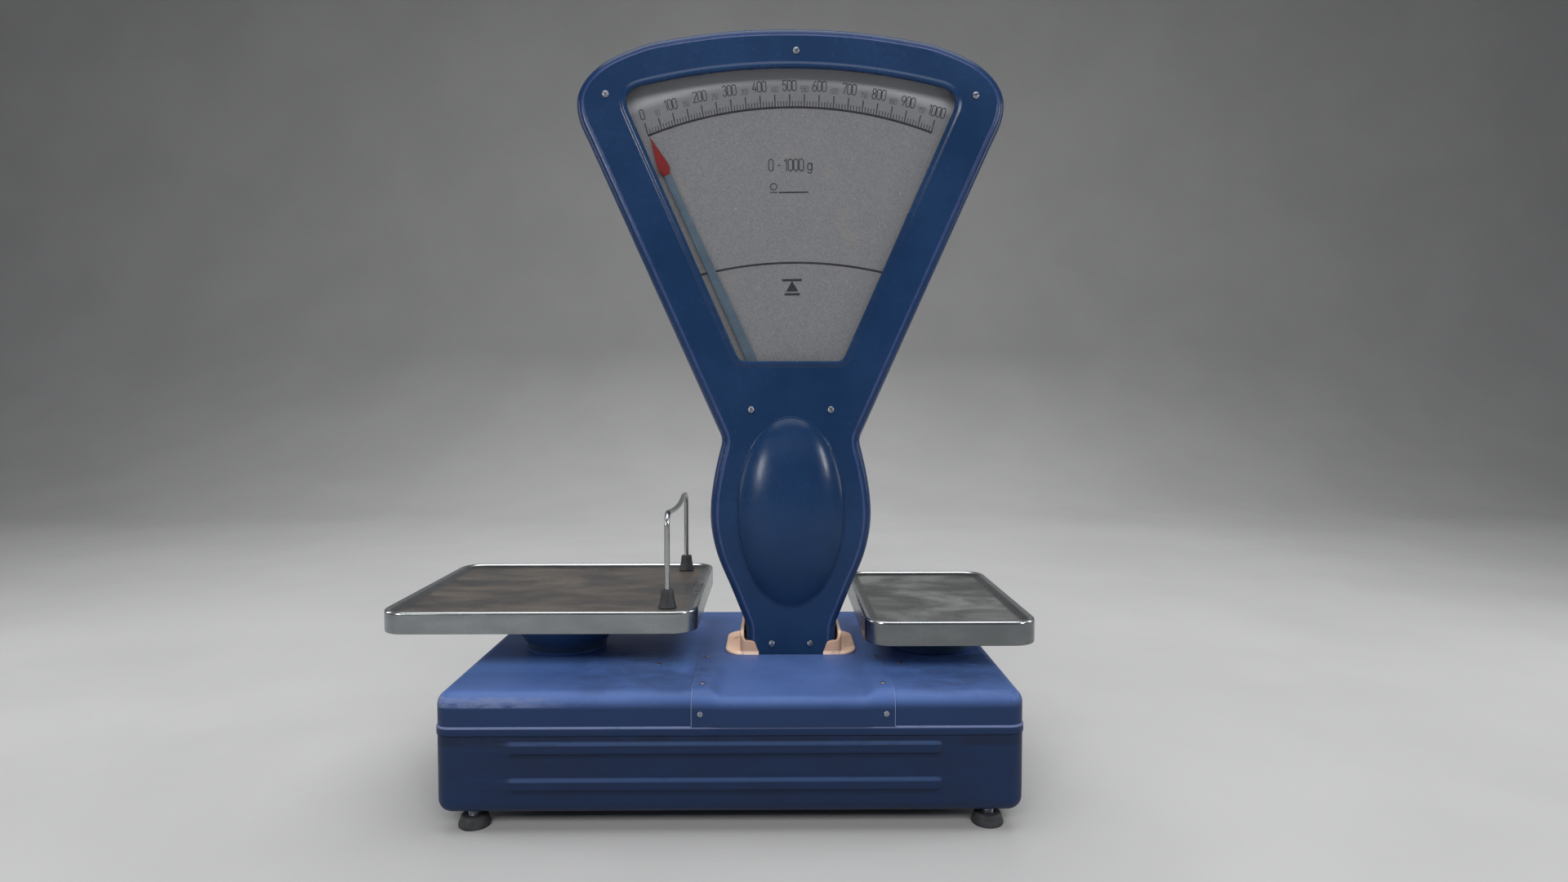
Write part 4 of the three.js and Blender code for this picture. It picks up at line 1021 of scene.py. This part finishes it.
def make_pan(x, half, rim, skirt, place):
    """Pressed tray: rolled foot, rounded crest, long slope down to the sunk floor."""
    half_y, corner = 115.0, 22.0
    # both faces, as insets from the skirt and drops from the rim
    outer = [(0.9, skirt), (0.25, skirt - 0.15), (0.0, skirt - 0.7), (0.0, 2.6), (0.12, 1.6), (0.5, 0.75), (1.1, 0.2),
             (1.8, 0.0), (2.6, 0.14), (3.3, 0.52), (4.1, 1.15), (4.9, 1.7), (6.2, 2.2), (8.4, 2.7), (11.0, 3.25),
             (13.4, 3.75), (15.4, 3.97), (17.5, 4.0)]
    under = [(17.5, 5.5), (14.5, 5.3), (11.0, 4.75), (7.0, 4.0), (4.4, 3.0), (2.7, 2.0), (1.65, 2.4), (1.5, 3.6),
             (1.5, skirt - 0.3), (1.2, skirt)]
    stations_x = [half * u for u in (-0.6, -0.3, 0, 0.3, 0.6)]
    stations_y = [-70, -35, 0, 35, 70]

    def ring(inset, drop):
        radius = max(corner - inset, 4.5)
        return [(a, b, rim - drop)
                for a, b in rounded(half - inset, half_y - inset, radius, x, 0, 12, stations_x, stations_y)]
    pan = loft(f"{place}_pan_tray", [ring(*spot) for spot in (*reversed(outer), *reversed(under))])
    settle(pan, f"{place}_pan", "pan_steel", place, f"{place}_pan", angle=50)


def make_guard():
    x, front, back, top, radius, bend, jog = -110.5, -82.0, 94.0, 258.25, 2.45, 11.0, 3.0
    floor = 175.3
    points = [(x, front, floor)] + [(x, front, floor + d) for d in (10, 25, 45)] + [(x, front, top - bend)]
    points += [(x, front + bend * (1 - cos(a)), top - bend + bend * sin(a)) for a in quarter(8)[1:]]
    for k in range(1, 24):
        t = k / 24
        points.append((x + jog * sin(pi * t) ** 2, front + bend + (back - front - 2 * bend) * t,
                       top - 1.6 * sin(tau * t)))
    points += [(x, back - bend * (1 - sin(a)), top - bend + bend * cos(a)) for a in quarter(8)]
    points += [(x, back, floor + d) for d in (45, 25, 10, 0)]
    rings = []
    previous = Vector((1, 0, 0))
    for i, p in enumerate(points):
        behind, ahead = points[max(i - 1, 0)], points[min(i + 1, len(points) - 1)]
        tangent = (Vector(ahead) - Vector(behind)).normalized()
        u = (previous - tangent * previous.dot(tangent)).normalized()
        v = tangent.cross(u)
        previous = u
        rings.append([Vector(p) + radius * (cos(a) * u + sin(a) * v) for a in full_turn(20)])
    settle(loft("guard_rail", rings), "goods_pan", "bright_steel", "bright", "guard_wire")
    for node, y in (("guard_bush_front", front), ("guard_bush_rear", back)):
        profile = [(r, floor + rise) for r, rise in (
            (2.55, 0), (7.3, 0), (8.0, 0.5), (7.95, 1.3), (7.0, 4.5), (6.2, 8.5), (5.7, 12.5), (5.5, 15.2),
            (5.0, 15.9), (4.4, 16), (2.9, 16), (2.55, 15.6))]
        settle(lathe(f"{node}_rubber", profile, 48, x, y, True), "goods_pan", "rubber", "rubber", node)


# ------------------------------------------------------------------ build
make_tray()
make_cover()
make_plate()
make_feet()
for housing_side, housing_place in ((-1, "front"), (1, "rear")):
    make_housing(housing_side, housing_place)
    make_print(housing_side, housing_place)
    make_pointer(housing_side, housing_place)
make_collar()

plate_top, plate_front = TOP + 1.8, -HALF_Y + SKIN - 1.8
place_screws("small", (2.4, 1.1, 1.2, 8), [
    *((f"plate_screw_{i}", x, y, plate_top, "up", 35 * i) for i, (x, y) in
      enumerate(((-76, -125.8), (76, -125.8), (-78, -47.7), (78, -47.7)), 1)),
    ("plate_screw_5", -76.5, plate_front, 102, "front", 4),
    ("plate_screw_6", 76.5, plate_front, 102, "front", -6),
    ("cover_screw_1", -120, -64.2, TOP + 0.3, "up", 70),
    ("cover_screw_2", 99.6, -64.2, TOP + 0.3, "up", 20)])
for group, length, turn, step, spots in (
        ("casing", 48, 55, 40, {1: (-169.5, 638), 2: (169.5, 638), 3: (4.6, 677.6), 4: (-37, 350), 5: (37, 350)}),
        ("foot", 20, 180, 30, {6: (-18, 130), 7: (18, 130)})):
    place_screws(group, (3.4, 2.0, 1.8, length), [
        (f"housing_screw_{i}", x, -SHELL_FACE, z, "front", turn + step * (i - min(spots)))
        for i, (x, z) in spots.items()])

for pan_name, (pan_x, pan_half, pan_rim, pan_skirt, dish_skirt) in PANS.items():
    make_stem_collar(pan_x, pan_name)
    make_dish(pan_x, pan_rim - 5.8, dish_skirt, pan_name)
    make_pan(pan_x, pan_half, pan_rim, pan_skirt, pan_name)
make_guard()


# ------------------------------------------------------------------ works that keep their CAD shape
WORKS = {
    "glass": ("front_window", "rear_window"),
    "dial": ("front_dial", "rear_dial"),
    "cast": ("quadrant_frame", "pendulum_weight", "mechanism_stand", "beam", "goods_carrier", "weights_carrier"),
    "bright": ("quadrant_axle", "goods_knife", "fulcrum_knife", "weights_knife", "shackle", "draft_rod"),
    "screw": ("stay_bar", "transfer_lever"),
    "brass": ("damper_cylinder", "damper_piston"),
}
for paint_name, nodes in WORKS.items():
    for node in nodes:
        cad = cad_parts[node]
        cad.data.materials.clear()
        cad.data.materials.append(PAINT[paint_name])
        cad.data.shade_smooth()
        cad.data.set_sharp_from_angle(angle=radians(32))


# ------------------------------------------------------------------ floor and light
def make_stage():
    depth, height, radius = 3.2, 4.0, 1.4
    profile = [(-40.0, 0.0), (depth - radius, 0.0)]
    profile += [(depth - radius + radius * sin(a), radius * (1 - cos(a))) for a in quarter(16)[1:]]
    profile.append((depth, height + 3))
    vertices = [(x, y, z) for y, z in profile for x in (-40.0, 40.0)]
    faces = [(2 * i, 2 * i + 1, 2 * i + 3, 2 * i + 2) for i in range(len(profile) - 1)]
    floor = mesh_object("floor", vertices, faces)
    floor.data.shade_smooth()
    p = Paint("studio_floor")
    p.ground(p.noise(3, 3), 0.3, 0.7, (0.45, 0.45, 0.45), (0.48, 0.48, 0.48))
    floor.data.materials.append(p.finish(0.85))


def area_light(name, place, target, width, height, power, glossy=True, diffuse=True):
    data = bpy.data.lights.new(name, "AREA")
    data.shape, data.size, data.size_y = "RECTANGLE", width, height
    data.energy = power
    light = add(name, data)
    light.location = Vector(place)
    light.visible_camera, light.visible_glossy, light.visible_diffuse = False, glossy, diffuse
    light.rotation_euler = (Vector(target) - Vector(place)).to_track_quat("-Z", "Y").to_euler()


make_stage()
area_light("front_high", (0.05, -2.3, 1.62), (0.05, -0.10, 0.12), 2.6, 0.6, 50, glossy=False)
area_light("overhead", (0.05, -0.20, 2.3), (0.05, -0.05, 0.2), 2.4, 2.0, 36)
area_light("left_box", (-1.15, -1.30, 0.74), (0.05, 0, 0.26), 0.15, 0.34, 8.0, diffuse=False)
area_light("right_box", (1.45, -0.95, 0.88), (0.08, 0, 0.26), 0.17, 0.45, 6.8, diffuse=False)
area_light("left_rim", (-1.5, 0.15, 0.70), (0.05, 0, 0.35), 0.25, 0.8, 3.0)
area_light("right_rim", (1.6, 0.15, 0.70), (0.08, 0, 0.35), 0.25, 0.8, 3.4)
area_light("rear_high", (0.05, 2.0, 1.7), (0.05, 0.10, 0.15), 2.4, 0.7, 26, glossy=False)
world = bpy.data.worlds.new("studio")
scene.world = world
world.use_nodes = True
background = world.node_tree.nodes["Background"]
background.inputs["Color"].default_value = (0.92, 0.95, 1.0, 1)
background.inputs["Strength"].default_value = 0.12
scene.view_settings.view_transform = "Standard"
